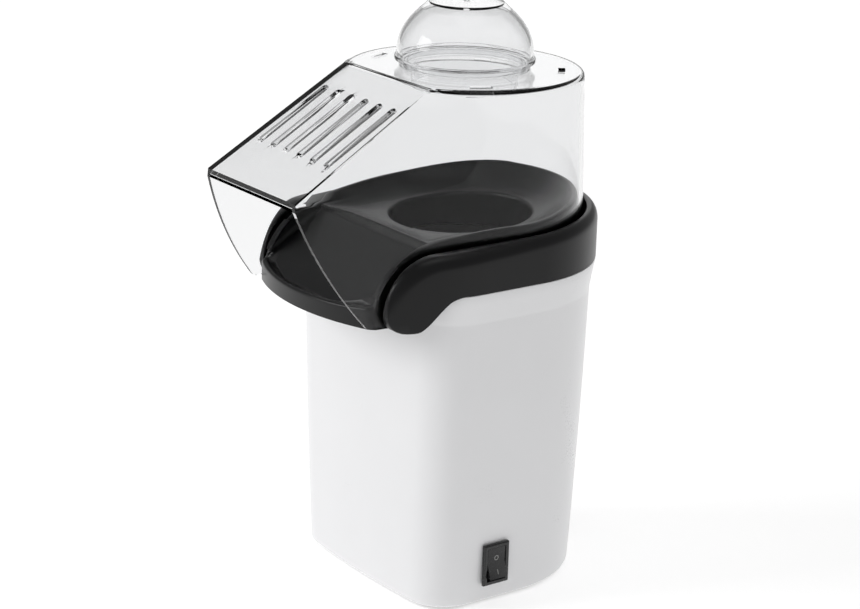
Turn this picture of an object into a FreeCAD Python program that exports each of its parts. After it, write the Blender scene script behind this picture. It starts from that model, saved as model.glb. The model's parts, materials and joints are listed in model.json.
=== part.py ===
"""Hot-air popcorn maker: tower housing with a blower and heater, a black bowl with a chute,
a clear hood that lifts off with the bowl, and a measuring cup that stands on the hood.

Everything is built about the tower's axis (X right, Y back, Z up, z = 0 on the table) and
moved along Y on export, so that the origin is the middle of the whole object's footprint.
"""
import FreeCAD, Part
import os
from math import acos, asin, atan2, cos, degrees, pi, radians, sin, sqrt, tan

V = FreeCAD.Vector

# ---- tower (half widths are also the radius of its round back) -------------------------
FOOT_HEIGHT = 2.0            # gap below the housing
BASE_HALF = 59.8             # half width at the bottom
MID_HALF = 62.6
NECK_HALF = 64.6             # at the crease below the flared band
RIM_HALF = 67.0              # flared band and collar
BASE_FRONT = 55.6            # reach of the flat front from the axis
MID_FRONT = 57.2
NECK_FRONT = 58.4
RIM_FRONT = 60.0
MID_Z = 70.0
CREASE_Z = 146.0
FLARE_Z = 151.0              # end of the flare
HOUSING_TOP = 161.0
CORNER_R = 20.0              # front corners in plan
FRONT_BOW_R = 520.0          # the front face is slightly bowed
HOUSING_WALL = 2.4
HOUSING_EDGE_R = 1.6         # rounding of the bottom edge

# ---- collar ------------------------------------------------------------------------------
TILT = 0.05                  # rise per mm towards the back of everything round the bowl
COLLAR_TOP = 183.5           # at the axis
COLLAR_ROUND = 6.2           # rounding of its outer edge
DECK_THICKNESS = 2.0
DECK_TOP = HOUSING_TOP + DECK_THICKNESS
DECK_HOLE_R = 39.5
HORN_BOTTOM = 146.0
HORN_REACH = 80.5            # how far the two front horns stand out
HORN_TIP_HALF = 55.5
HORN_START_Y = -36.0         # where the sides start to sweep inwards
HORN_BEND_Y = -55.0          # where the top starts to bend down
HORN_HEEL_Y = -67.0          # where the underside leaves the level
HORN_ARCH = ((-60.0, 149.0), (-55.0, 155.5), (-50.0, 159.4))   # points of the sweep up to the band
HORN_ARCH_END_Y = -43.0
SPIGOT_DEPTH = 5.0
SPIGOT_WALL = 1.8
FIT = 0.15                   # clearance between fixed plastic parts

# ---- hood ---------------------------------------------------------------------------------
HOOD_TOP_R = 57.5
HOOD_LOW_R = 60.9
HOOD_TOP = 252.0
HOOD_LOW = 146.0             # level at which the low outline is given
HOOD_SEAT = 176.0            # underside of the round wall
HOOD_LEG = 148.0             # underside of the two front legs
HOOD_LEG_Y = -62.5           # back edge of those legs
HOOD_WALL = 2.0
HOOD_EDGE_R = 2.5
PANEL_TOP_Y = -45.6          # where the slanted panel leaves the top
NOSE_Y = -119.5
NOSE_Z = 208.4
NOSE_HALF = 37.6
NOSE_BAND = 4.0              # height of the strip below the nose's edge
MOUTH_ROOM = 12.0            # the hollow runs on this far through the open mouth
LOW_FRONT_HALF = 46.4        # half width of the low outline below the nose
MOUTH_MID = (-106.0, 174.5)  # the mouth's curved side edge passes here
MOUTH_LOW = (-87.0, 147.0)
SLOT_COUNT = 6
SLOT_PITCH = 11.3
SLOT_WIDTH = 3.6
SLOT_ENDS_Y = (-60.0, -98.0)
WELL_R = 24.0                # neck in the middle of the hood's top
WELL_DEPTH = 8.0
VENT_R = 46.5
VENT_WIDTH = 3.4
VENT_SPAN = 13.0             # degrees
VENT_ANGLES = (-27.0, 50.0, 130.0, 207.0)
SPIGOT_R = 29.3              # ring that centres the cup
SPIGOT_HEIGHT = 3.0

# ---- bowl and chute -------------------------------------------------------------------------
LIFT_GAP = 0.4               # between parts that lift off and what they sit in
SEAT_GAP = 0.3               # below the bowl's neck, over the chamber's flange
BOWL_TOP = 187.3             # rim along the sides
BOWL_BACK_TOP = 193.4        # the rim rises to this behind the hole
BOWL_RISE_Y = (2.0, 25.0, 48.0)   # start, middle and end of that rise
BOWL_SHOULDER_Y = -38.0      # where the rim starts to fall towards the ridge
BOWL_WALL = 2.2
BOWL_HOLE_R = 34.7
HOLE_Z = 180.6
DISH_R = 51.6
DISH_SIDE = 47.6             # half width of the dish at the ridge
DISH_CORNER = 10.0
DISH_BEND = -12.0            # degrees past the side where the round back ends
# how far the dish's plan grows, and at what height above the hole
DISH_STEPS = ((-7.5, 0.2), (-3.4, 1.1), (-1.2, 2.8), (0.0, 5.4), (0.6, 14.0))
RIDGE_Y = -51.5
RIDGE_Z = 182.6
RIDGE_STEP = 5.0
STEP_LEAN = 2.8              # the foot of the step lies this far in front of the ridge
RIDGE_FLAT = (3.5, -2.0)     # the ridge is flat from behind its line to in front of it
BOWL_SKIRT_Z = 172.0
CHUTE_HALF = 45.0            # half width of the channel at the lip
CHEEK_TOP = (-58.0, 182.0)
CHEEK_MID = (-74.5, 171.0)
CHEEK_FRONT = (-82.0, 154.0)
FLOOR_END = (-80.0, 160.5)
GUTTER = (-88.0, 154.0)
LIP_TOP = 155.2
LIP_LOW = 146.6
LIP_REACH = 94.0
LIP_SIDE_Y = -85.0           # the lip's bow brings its ends back to here
LIP_WALL = 2.6

# ---- measuring cup ----------------------------------------------------------------------------
CUP_RIM_R = 33.8
CUP_FOOT_R = 31.6
CUP_TOP_R = 19.0
CUP_HEIGHT = 31.4
CUP_WALL = 1.6
CUP_RIM_Z = (3.0, 5.0)       # band round the cup, above its edge

# ---- popping chamber, duct and heater -----------------------------------------------------------
CHAMBER_R = 33.5
CHAMBER_WALL = 0.8
CHAMBER_BOTTOM = 88.0
CHAMBER_FLANGE_R = 43.0
DECK_SCREW_INSET = 1.9       # the deck's screws lie this far inside the flange's edge
LOUVRE_COUNT = 16
LOUVRE_Z = (92.0, 108.0)
SLEEVE_R = 44.0
SLEEVE_WALL = 0.8
SPACER_HEIGHT = 5.0
DUCT_PLATE_Z = 60.0
DUCT_PLATE_T = 1.6
DUCT_HOLE_R = 36.0
COIL_R = 32.0
COIL_WIRE_R = 0.7
COIL_RISER = 0.8             # the risers are this share of the wire's thickness
COIL_TURNS = 6
COIL_PITCH = 3.0
COIL_Z = 67.0
MICA_T = 0.8
MICA_R = 42.0
MICA_TOP = 85.0

# ---- blower and motor ---------------------------------------------------------------------------
FAN_R = 34.0
FAN_CASE_R = 38.0
FAN_CASE_WALL = 1.6
FAN_CASE_Z = 40.0
FAN_BLADES = 18
INTAKE_R = 24.0
IMPELLER_Z = (44.0, 55.0)
BRACKET_T = 1.8
MOTOR_R = 14.0
MOTOR_Z = (13.0, 38.2)
SHAFT_R = 1.15
SHAFT_Z = (9.4, 56.5)
SHAFT_CLEARANCE = 0.04
BEARING_R = 3.0
ARMATURE_R = 9.0
BOARD_R = 21.0
BOARD_T = 1.4

# ---- switch, screws and feet ---------------------------------------------------------------------
SWITCH_Y = -18.5
SWITCH_Z = 21.5
SWITCH_HEIGHT = 21.0
SWITCH_WIDTH = 15.0
SWITCH_FRAME = 2.0           # width and height of the frame round the rocker
SWITCH_DEPTH = 15.0
ROCKER_TILT = 10.0           # degrees either side of level
PILLAR_R = 4.0
SCREW_R = 1.5
HEAD_R = 2.8
PILLARS = ((-45.0, -40.0), (45.0, -40.0), (-36.5, 36.5), (36.5, 36.5))
COVER_Z = 2.6
COVER_T = 2.4
FOOT_R = 6.0
FEET = ((-42.0, -26.0), (42.0, -26.0), (-24.0, 42.0), (24.0, 42.0))
INLET_R = 5.0
INLET_Z = 18.0

FAR = 140.0                  # beyond the object, for cutting tools
Y_SHIFT = (-NOSE_Y - RIM_HALF) / 2.0


# ---- small geometry helpers ----------------------------------------------------------------------
def cyl(radius, z0, z1, x=0.0, y=0.0):
    return Part.makeCylinder(radius, z1 - z0, V(x, y, z0))


def ring(outer, inner, z0, z1, x=0.0, y=0.0):
    return cyl(outer, z0, z1, x, y).cut(cyl(inner, z0 - 1, z1 + 1, x, y))


def box(x0, x1, y0, y1, z0, z1):
    return Part.makeBox(x1 - x0, y1 - y0, z1 - z0, V(x0, y0, z0))


def join(shapes):
    first, rest = shapes[0], shapes[1:]
    return first.multiFuse(rest).removeSplitter() if rest else first


def group(shapes):
    return Part.makeCompound(shapes)


def turned(shape, angle, x=0.0, y=0.0):
    copy = shape.copy()
    copy.rotate(V(x, y, 0), V(0, 0, 1), angle)
    return copy


def side_slab(points, half_width):
    """Solid across X from a side view: (y, z) points, an arc where an item is (mid, end)."""
    edges, last = [], V(-half_width, *points[0])
    for item in points[1:]:
        if isinstance(item[0], tuple):
            mid, end = (V(-half_width, *p) for p in item)
            edges.append(Part.Arc(last, mid, end).toShape())
        else:
            end = V(-half_width, *item)
            edges.append(Part.LineSegment(last, end).toShape())
        last = end
    edges.append(Part.LineSegment(last, V(-half_width, *points[0])).toShape())
    return Part.Face(Part.Wire(edges)).extrude(V(2 * half_width, 0, 0))


def tilted_z(level, y):
    return level + TILT * y


def revolved(profile):
    """Solid of revolution about Z from closed (radius, z) points."""
    points = [V(r, 0, z) for r, z in profile]
    wire = Part.makePolygon(points + [points[0]])
    return Part.Face(wire).revolve(V(0, 0, 0), V(0, 0, 1), 360)


# ---- outlines ------------------------------------------------------------------------------------
def tower_outline(half, front, z, inset=0.0):
    """Round back, straight sides, rounded front corners and a bowed front, all tangent."""
    half, front = half - inset, front - inset
    corner, bow = CORNER_R - inset, FRONT_BOW_R - inset
    bow_y = -front + bow
    centre_x = half - corner
    centre_y = bow_y - sqrt((bow - corner) ** 2 - centre_x ** 2)
    lean = asin(centre_x / (bow - corner))
    touch = (bow * sin(lean), bow_y - bow * cos(lean))
    half_turn = (pi / 2 - lean) / 2
    mid = (centre_x + corner * cos(half_turn), centre_y - corner * sin(half_turn))

    def arc(a, b, c):
        return Part.Arc(V(*a, z), V(*b, z), V(*c, z)).toShape()

    def line(a, b):
        return Part.LineSegment(V(*a, z), V(*b, z)).toShape()

    return Part.Wire([
        arc((half, 0), (0, half), (-half, 0)),
        line((-half, 0), (-half, centre_y)),
        arc((-half, centre_y), (-mid[0], mid[1]), (-touch[0], touch[1])),
        arc((-touch[0], touch[1]), (0, -front), touch),
        arc(touch, mid, (half, centre_y)),
        line((half, centre_y), (half, 0)),
    ])


def tower_solid(inset, z_from, z_to):
    """The tower's outer form, shrunk by an inset and cut to a height range."""
    sections = [(FOOT_HEIGHT, BASE_HALF, BASE_FRONT), (MID_Z, MID_HALF, MID_FRONT),
                (CREASE_Z, NECK_HALF, NECK_FRONT)]
    lower = Part.makeLoft([tower_outline(h, f, z, inset) for z, h, f in sections], True, False)
    flare = [tower_outline(NECK_HALF, NECK_FRONT, CREASE_Z, inset),
             tower_outline(RIM_HALF, RIM_FRONT, FLARE_Z, inset)]
    band = Part.Face(tower_outline(RIM_HALF, RIM_FRONT, FLARE_Z, inset))
    band = band.extrude(V(0, 0, HOUSING_TOP - FLARE_Z + 1))
    whole = join([lower, Part.makeLoft(flare, True, True), band])
    reach = 2 * RIM_HALF
    return whole.common(box(-reach, reach, -reach, reach, z_from, z_to))


def hood_outline(radius, corner, z):
    """Circle with two straight sides that leave it towards the front corners."""
    half, y = corner
    away = sqrt(half * half + y * y)
    if away > radius + 0.01:
        start = atan2(y, half) + acos(radius / away)
    else:
        start = radians(-9.0)
    left = pi - start
    first = V(radius * cos(start), radius * sin(start), z)
    last = V(radius * cos(left), radius * sin(left), z)
    front_right, front_left = V(half, y, z), V(-half, y, z)
    back = Part.Arc(first, V(0, radius, z), last).toShape()
    if away > radius + 0.01:
        left_side = Part.LineSegment(last, front_left).toShape()
        right_side = Part.LineSegment(front_right, first).toShape()
    else:
        middle = (start + atan2(y, half)) / 2
        left_mid = V(-radius * cos(middle), radius * sin(middle), z)
        right_mid = V(radius * cos(middle), radius * sin(middle), z)
        left_side = Part.Arc(last, left_mid, front_left).toShape()
        right_side = Part.Arc(front_right, right_mid, first).toShape()
    return Part.Wire([back, left_side, Part.LineSegment(front_left, front_right).toShape(), right_side])


PANEL_FALL = (HOOD_TOP - NOSE_Z) / (PANEL_TOP_Y - NOSE_Y)
PANEL_LEAN = atan2(PANEL_FALL, 1.0)


def hood_form(inset, mouth_room=0.0):
    """The hood's form shrunk by an inset; mouth_room lengthens it through the open mouth."""
    top_z = HOOD_TOP - inset
    back_shift = inset / sin(PANEL_LEAN)

    def panel_y(z):
        return PANEL_TOP_Y - (HOOD_TOP - z) / PANEL_FALL + back_shift

    slope = (HOOD_LOW_R - HOOD_TOP_R) / (HOOD_TOP - HOOD_LOW)

    def radius(z):
        return HOOD_TOP_R + slope * (HOOD_TOP - z) - inset

    top_y = panel_y(top_z)
    top_half = sqrt(radius(top_z) ** 2 - top_y ** 2) - 0.005
    nose_z = HOOD_TOP - PANEL_FALL * (PANEL_TOP_Y + back_shift - NOSE_Y)
    nose_half = NOSE_HALF - inset
    upper = Part.makeLoft([hood_outline(radius(top_z), (top_half, top_y), top_z),
                           hood_outline(radius(nose_z), (nose_half, NOSE_Y), nose_z)], True, True)
    front = NOSE_Y - mouth_room
    spread = mouth_room * 0.18
    low_half = LOW_FRONT_HALF - inset
    lower = Part.makeLoft([hood_outline(radius(nose_z), (nose_half - spread, front), nose_z),
                           hood_outline(radius(HOOD_LOW), (low_half - spread, front), HOOD_LOW)], True, True)
    return join([upper, lower])


# ---- housing and collar --------------------------------------------------------------------------
def base_housing():
    outer = tower_solid(0.0, FOOT_HEIGHT, HOUSING_TOP)
    low_edges = [e for e in outer.Edges if e.BoundBox.ZMax < FOOT_HEIGHT + 0.01]
    outer = outer.makeFillet(HOUSING_EDGE_R, low_edges)
    inner = tower_solid(HOUSING_WALL, 0.0, HOUSING_TOP + 1)
    inner = join([inner, Part.Face(tower_outline(BASE_HALF, BASE_FRONT, 0.0, HOUSING_WALL))
                  .extrude(V(0, 0, FOOT_HEIGHT + 0.5))])
    shell = outer.cut(inner)
    low, high = COVER_Z + COVER_T, DUCT_PLATE_Z
    pillars = []
    for x, y in PILLARS:
        away = sqrt(x * x + y * y)
        rib = box(0, 14.0, -1.2, 1.2, low, high)
        rib.translate(V(away, 0, 0))
        rib = turned(rib, degrees(atan2(y, x)))
        pillar = join([cyl(PILLAR_R, low, high, x, y), rib])
        pillars.append(pillar.common(tower_solid(HOUSING_WALL - 0.6, low, high)))
    shell = join([shell] + pillars)
    for x, y in PILLARS:
        shell = shell.cut(cyl(SCREW_R, low - 1, low + 12, x, y))
        shell = shell.cut(cyl(SCREW_R, high - 12, high + 1, x, y))
    half_y, half_z = SWITCH_WIDTH / 2 - 1.0, SWITCH_HEIGHT / 2 - 1.0
    cut_out = box(50, 70, SWITCH_Y - half_y, SWITCH_Y + half_y, SWITCH_Z - half_z, SWITCH_Z + half_z)
    inlet = Part.makeCylinder(INLET_R, 20, V(0, 50, INLET_Z), V(0, 1, 0))
    return shell.cut(cut_out).cut(inlet)


def well_outline(z, grow):
    """Plan of the space that the hood and bowl drop into."""
    half = LOW_FRONT_HALF + grow
    return hood_outline(HOOD_LOW_R + grow, (half, NOSE_Y), z)


def collar_outline(z):
    """Round back, straight sides, and horns that sweep gently inwards to the front."""
    start, tip = V(RIM_HALF, HORN_START_Y, z), V(HORN_TIP_HALF, -HORN_REACH, z)
    half_turn = atan2(start.x - tip.x, start.y - tip.y)
    sweep_r = (start.y - tip.y) / sin(2 * half_turn)

    def at(turn, side):
        return V(side * (start.x - sweep_r * (1 - cos(turn))), start.y - sweep_r * sin(turn), z)

    past_tip = 2.3 * half_turn
    right = Part.Arc(at(0, 1), at(past_tip / 2, 1), at(past_tip, 1)).toShape()
    left = Part.Arc(at(past_tip, -1), at(past_tip / 2, -1), at(0, -1)).toShape()
    back = Part.Arc(V(-RIM_HALF, 0, z), V(0, RIM_HALF, z), V(RIM_HALF, 0, z)).toShape()
    return Part.Wire([right, Part.LineSegment(at(past_tip, 1), at(past_tip, -1)).toShape(), left,
                      Part.LineSegment(at(0, -1), V(-RIM_HALF, 0, z)).toShape(), back,
                      Part.LineSegment(V(RIM_HALF, 0, z), at(0, 1)).toShape()])


def collar_side():
    """Side view of the collar: tilted top that bends down round the horns, and their sweep below."""
    lean = atan2(TILT, 1.0)
    bend_z = tilted_z(COLLAR_TOP, HORN_BEND_Y)
    bend_r = (HORN_REACH + HORN_BEND_Y) / (1 - sin(lean))
    centre_y, centre_z = HORN_BEND_Y + bend_r * sin(lean), bend_z - bend_r * cos(lean)
    low_r = centre_z - HORN_BOTTOM
    q = sqrt(0.5)
    back = FAR
    bend_mid = (centre_y - bend_r * q, centre_z + bend_r * q)
    low_mid = (-HORN_REACH + low_r * (1 - q), centre_z - low_r * q)
    return side_slab([(back, HOUSING_TOP), (back, tilted_z(COLLAR_TOP, back)), (HORN_BEND_Y, bend_z),
                      (bend_mid, (centre_y - bend_r, centre_z)),
                      (low_mid, (-HORN_REACH + low_r, HORN_BOTTOM)),
                      (HORN_HEEL_Y, HORN_BOTTOM), (HORN_ARCH[0], HORN_ARCH[1]),
                      (HORN_ARCH[2], (HORN_ARCH_END_Y, HOUSING_TOP))], FAR)


def is_collar_edge(edge):
    """True for the outer edges round the top and the front of the horns."""
    box_ = edge.BoundBox
    level = box_.XLength + box_.YLength > 0.5
    across = box_.XLength > RIM_HALF and box_.YLength < 1.0
    front = box_.YMax < -HORN_REACH + 8.0 and box_.ZMax > HORN_BOTTOM + 5.0
    return level and not across and (box_.ZMax > HOUSING_TOP + 2.0 or front)


def collar_ring():
    block = Part.Face(collar_outline(HORN_BOTTOM - 5.0)).extrude(V(0, 0, 60.0)).common(collar_side())
    outer = block.makeFillet(COLLAR_ROUND, [e for e in block.Edges if is_collar_edge(e)])
    drop = Part.Face(well_outline(DECK_TOP, LIFT_GAP)).extrude(V(0, 0, FAR))
    front_low = Part.Face(well_outline(0, LIFT_GAP)).extrude(V(0, 0, DECK_TOP + 1.0))
    front_low = front_low.common(box(-FAR, FAR, -FAR, -RIM_FRONT - 0.6, 0, FAR * 2))
    outer = outer.cut(drop).cut(front_low).cut(tower_solid(-FIT, FOOT_HEIGHT, HOUSING_TOP))
    inside = Part.Face(tower_outline(RIM_HALF, RIM_FRONT, HOUSING_TOP - SPIGOT_DEPTH, HOUSING_WALL + FIT))
    skirt = inside.extrude(V(0, 0, SPIGOT_DEPTH + 0.5))
    hollow = Part.Face(tower_outline(RIM_HALF, RIM_FRONT, 0, HOUSING_WALL + FIT + SPIGOT_WALL))
    hollow = hollow.extrude(V(0, 0, HOUSING_TOP))
    whole = join([outer, skirt]).cut(hollow)
    whole = whole.cut(cyl(DECK_HOLE_R, 0, DECK_TOP + 1))
    for x, y in deck_screw_places():
        whole = whole.cut(cyl(SCREW_R, 0, DECK_TOP + 1, x, y))
    return whole


def deck_screw_places():
    reach = CHAMBER_FLANGE_R - DECK_SCREW_INSET
    return [(reach * cos(radians(a)), reach * sin(radians(a))) for a in (45, 135, 225, 315)]


# ---- hood, bowl and cup --------------------------------------------------------------------------
def panel_slots():
    """Rounded slots that run down the slanted panel."""
    top_y, low_y = SLOT_ENDS_Y
    length = (top_y - low_y) / cos(PANEL_LEAN)
    slots = []
    for i in range(SLOT_COUNT):
        x = (i - (SLOT_COUNT - 1) / 2) * SLOT_PITCH
        half = SLOT_WIDTH / 2
        bar = box(-half, half, -length + half, -half, -8, 8)
        bar = join([bar, cyl(half, -8, 8, 0, -half), cyl(half, -8, 8, 0, half - length)])
        bar.rotate(V(0, 0, 0), V(1, 0, 0), degrees(PANEL_LEAN))
        bar.translate(V(x, top_y, HOOD_TOP - (PANEL_TOP_Y - top_y) * PANEL_FALL))
        slots.append(bar)
    return slots


def top_vents():
    """Curved vents through the flat top, in a circle round the cup."""
    vents = []
    for middle in VENT_ANGLES:
        band = ring(VENT_R + VENT_WIDTH / 2, VENT_R - VENT_WIDTH / 2, HOOD_TOP - 6, HOOD_TOP + 4)
        reach = 2 * VENT_R
        spread = reach * tan(radians(VENT_SPAN / 2))
        corners = [V(0, 0, 0), V(reach, -spread, 0), V(reach, spread, 0), V(0, 0, 0)]
        wedge = Part.Face(Part.makePolygon(corners))
        wedge = wedge.extrude(V(0, 0, 20))
        wedge.translate(V(0, 0, HOOD_TOP - 10))
        vents.append(turned(band.common(wedge), middle))
    return vents


def clear_hood():
    outer = hood_form(0.0)
    edge = [e for e in outer.Edges if e.BoundBox.ZMin > HOOD_TOP - 0.01]
    outer = outer.makeFillet(HOOD_EDGE_R, edge)
    inner = hood_form(HOOD_WALL, MOUTH_ROOM)
    shell = outer.cut(inner)
    front = NOSE_Y - MOUTH_ROOM
    mouth = [(front, NOSE_Z - NOSE_BAND), (NOSE_Y, NOSE_Z - NOSE_BAND), (MOUTH_MID, MOUTH_LOW),
             (MOUTH_LOW[0], 0.0), (front, 0.0)]
    under = [(FAR, HOOD_SEAT), (HOOD_LEG_Y + 5.0, HOOD_SEAT), (HOOD_LEG_Y, HOOD_SEAT - 6.0),
             (HOOD_LEG_Y, HOOD_LEG), (-FAR, HOOD_LEG), (-FAR, 0.0), (FAR, 0.0)]
    shell = shell.cut(side_slab(mouth, FAR)).cut(side_slab(under, FAR))
    well = ring(WELL_R + CUP_WALL, WELL_R, HOOD_TOP - HOOD_WALL - WELL_DEPTH, HOOD_TOP - 0.5)
    spigot = ring(SPIGOT_R, SPIGOT_R - SPIGOT_WALL, HOOD_TOP - 0.5, HOOD_TOP + SPIGOT_HEIGHT)
    shell = join([shell, well, spigot]).cut(cyl(WELL_R, HOOD_TOP - 20, HOOD_TOP + 10))
    for cutter in panel_slots() + top_vents():
        shell = shell.cut(cutter)
    return shell


def dish_space():
    """The hollow of the dish, open upwards: round back, straight sides, square at the ridge."""
    def plan(grow, z):
        r, half, y = DISH_R + grow, DISH_SIDE + grow, RIDGE_Y + 2.0 - grow
        bend = radians(DISH_BEND)
        first, last = V(r * cos(bend), r * sin(bend), z), V(-r * cos(bend), r * sin(bend), z)
        corner = DISH_CORNER + grow
        q = corner * (1 - sqrt(0.5))
        pieces = [Part.Arc(first, V(0, r, z), last).toShape(),
                  Part.LineSegment(last, V(-half, y + corner, z)).toShape(),
                  Part.Arc(V(-half, y + corner, z), V(-half + q, y + q, z),
                           V(-half + corner, y, z)).toShape(),
                  Part.LineSegment(V(-half + corner, y, z), V(half - corner, y, z)).toShape(),
                  Part.Arc(V(half - corner, y, z), V(half - q, y + q, z),
                           V(half, y + corner, z)).toShape(),
                  Part.LineSegment(V(half, y + corner, z), first).toShape()]
        return Part.Wire(pieces)

    space = Part.makeLoft([plan(grow, HOLE_Z + up) for grow, up in DISH_STEPS], True, True)
    space = join([space, cyl(BOWL_HOLE_R + 1.2, HOLE_Z - 0.6, HOLE_Z + 2)])
    space.rotate(V(0, 0, HOLE_Z), V(1, 0, 0), degrees(TILT))
    return space


def chute_bowl():
    wall, sky = BOWL_WALL, FAR * 2
    form = hood_form(HOOD_WALL + LIFT_GAP, MOUTH_ROOM)
    start, middle, end = BOWL_RISE_Y
    rise = (BOWL_BACK_TOP - BOWL_TOP) / 2
    step_foot, step_root = RIDGE_Y - STEP_LEAN, RIDGE_Z - RIDGE_STEP
    outline = [(FAR, BOWL_BACK_TOP), (end, BOWL_BACK_TOP),
               (((end + middle) / 2, BOWL_TOP + rise * 1.75), (middle, BOWL_TOP + rise)),
               (((start + middle) / 2, BOWL_TOP + rise * 0.25), (start, BOWL_TOP)),
               (BOWL_SHOULDER_Y, BOWL_TOP - 1.8), (RIDGE_Y, RIDGE_Z + 0.4), CHEEK_TOP,
               (CHEEK_MID, CHEEK_FRONT), (CHEEK_FRONT[0], LIP_LOW), (CHEEK_FRONT[0] + 12.0, LIP_LOW),
               (RIDGE_Y - 8.0, BOWL_SKIRT_Z - 5.0), (RIDGE_Y, BOWL_SKIRT_Z), (FAR, BOWL_SKIRT_Z)]
    block = form.common(side_slab(outline, FAR))
    channel = [(RIDGE_Y - 1.0, sky), (RIDGE_Y - 1.0, RIDGE_Z - 0.6), (step_foot, step_root),
               FLOOR_END, GUTTER, (-FAR, GUTTER[1]), (-FAR, sky)]
    block = block.cut(side_slab(channel, CHUTE_HALF)).cut(dish_space())
    flat_back, flat_front = RIDGE_Y + RIDGE_FLAT[0], RIDGE_Y + RIDGE_FLAT[1]
    over_ridge = [(flat_back, sky), (flat_back, RIDGE_Z), (flat_front, RIDGE_Z), (flat_front, sky)]
    block = block.cut(side_slab(over_ridge, CHUTE_HALF + 1.2))
    floor_back = (FLOOR_END[0] + 1.0, FLOOR_END[1] - wall * 1.3)
    below = [(RIDGE_Y + 8.0, 0.0), (RIDGE_Y + 8.0, BOWL_SKIRT_Z + 1.0),
             (step_foot + wall, step_root - wall), floor_back,
             (GUTTER[0] - 2.0, GUTTER[1] - wall - 1.0), (GUTTER[0] - 2.0, 0.0)]
    block = block.cut(side_slab(below, CHUTE_HALF))
    block = block.cut(ring(DISH_R - 1.0, BOWL_HOLE_R + wall, 0.0, HOLE_Z - wall * 2))
    neck_low = DECK_TOP + CHAMBER_WALL + SEAT_GAP
    neck = cyl(BOWL_HOLE_R + wall, neck_low, HOLE_Z - 2.5)
    bow_r = ((CHUTE_HALF ** 2) + (LIP_REACH + LIP_SIDE_Y) ** 2) / (2 * (LIP_REACH + LIP_SIDE_Y))
    bow_y = -LIP_REACH + bow_r
    lip_zone = form.common(box(-FAR, FAR, -FAR, CHEEK_FRONT[0] + 1.0, LIP_LOW, LIP_TOP))
    lip = ring(bow_r, bow_r - LIP_WALL, LIP_LOW, LIP_TOP, 0.0, bow_y).common(lip_zone)
    floor_side = [FLOOR_END, GUTTER, (-FAR, GUTTER[1]), (-FAR, GUTTER[1] - wall),
                  (GUTTER[0] + 1.0, GUTTER[1] - wall), floor_back]
    floor = form.common(side_slab(floor_side, FAR)).common(cyl(bow_r - 0.5, 0, sky, 0.0, bow_y))
    ends = form.common(box(-FAR, FAR, -FAR, CHEEK_FRONT[0] + 1.0, LIP_LOW, CHEEK_FRONT[1] - 1.0))
    ends = ends.common(cyl(bow_r, 0, sky, 0.0, bow_y)).cut(box(-CHUTE_HALF, CHUTE_HALF, -FAR, 0, 0, sky))
    whole = join([block, neck, lip, floor, ends])
    return whole.cut(cyl(BOWL_HOLE_R, 0.0, sky))


def measuring_cup():
    """Cup that stands on its open edge, with a band just above the edge."""
    z0 = HOOD_TOP + 0.05
    low, high = z0 + CUP_RIM_Z[0], z0 + CUP_RIM_Z[1]
    top = z0 + CUP_HEIGHT
    body_r = CUP_RIM_R - 1.4
    dome = [(body_r, high), (body_r - 0.7, high + 6.0), (body_r - 3.6, high + 13.0),
            (body_r - 8.2, high + 19.4), (CUP_TOP_R + 2.0, top - 3.2), (CUP_TOP_R, top - 1.0),
            (CUP_TOP_R - 1.0, top)]

    def curve(points, z_shift, r_shift):
        return [V(r - r_shift, 0, z - z_shift) for r, z in points]

    outside = curve(dome, 0.0, 0.0)
    spline = Part.BSplineCurve()
    spline.interpolate(outside[:5])
    edges = [Part.makePolygon([V(0, 0, z0), V(CUP_FOOT_R, 0, z0), V(CUP_FOOT_R, 0, low), V(CUP_RIM_R, 0, low),
                               V(CUP_RIM_R, 0, high), outside[0]]).Edges,
             [spline.toShape()], Part.makePolygon(outside[4:] + [V(0, 0, top), V(0, 0, z0)]).Edges]
    solid = Part.Face(Part.Wire(sum(edges, []))).revolve(V(0, 0, 0), V(0, 0, 1), 360)
    inside = curve(dome, CUP_WALL, CUP_WALL)
    spline = Part.BSplineCurve()
    spline.interpolate(inside[:5])
    foot = CUP_FOOT_R - CUP_WALL
    edges = [Part.makePolygon([V(0, 0, z0 - 1), V(foot, 0, z0 - 1), V(foot, 0, low), inside[0]]).Edges,
             [spline.toShape()], Part.makePolygon([inside[4], V(inside[4].x, 0, top - CUP_WALL),
                                                   V(0, 0, top - CUP_WALL), V(0, 0, z0 - 1)]).Edges]
    return solid.cut(Part.Face(Part.Wire(sum(edges, []))).revolve(V(0, 0, 0), V(0, 0, 1), 360))


# ---- chamber, duct and heater --------------------------------------------------------------------
PLATE_TOP = DUCT_PLATE_Z + DUCT_PLATE_T


def popping_chamber():
    """Drawn aluminium cup; air enters through slanted louvres near its bottom."""
    outer = CHAMBER_R + CHAMBER_WALL
    top = DECK_TOP + CHAMBER_WALL
    cup = cyl(outer, CHAMBER_BOTTOM, top).cut(cyl(CHAMBER_R, CHAMBER_BOTTOM + CHAMBER_WALL, top + 1))
    flange = ring(CHAMBER_FLANGE_R, outer - 0.2, DECK_TOP, top)
    cup = join([cup, flange])
    low, high = LOUVRE_Z
    for i in range(LOUVRE_COUNT):
        slot = box(CHAMBER_R - 3, outer + 3, -1.1, 1.1, low, high)
        slot.rotate(V(CHAMBER_R, 0, (low + high) / 2), V(1, 0, 0), 28.0)
        cup = cup.cut(turned(slot, i * 360.0 / LOUVRE_COUNT))
    for x, y in deck_screw_places():
        cup = cup.cut(cyl(SCREW_R + FIT, DECK_TOP - 2, top + 2, x, y))
    return cup


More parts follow.
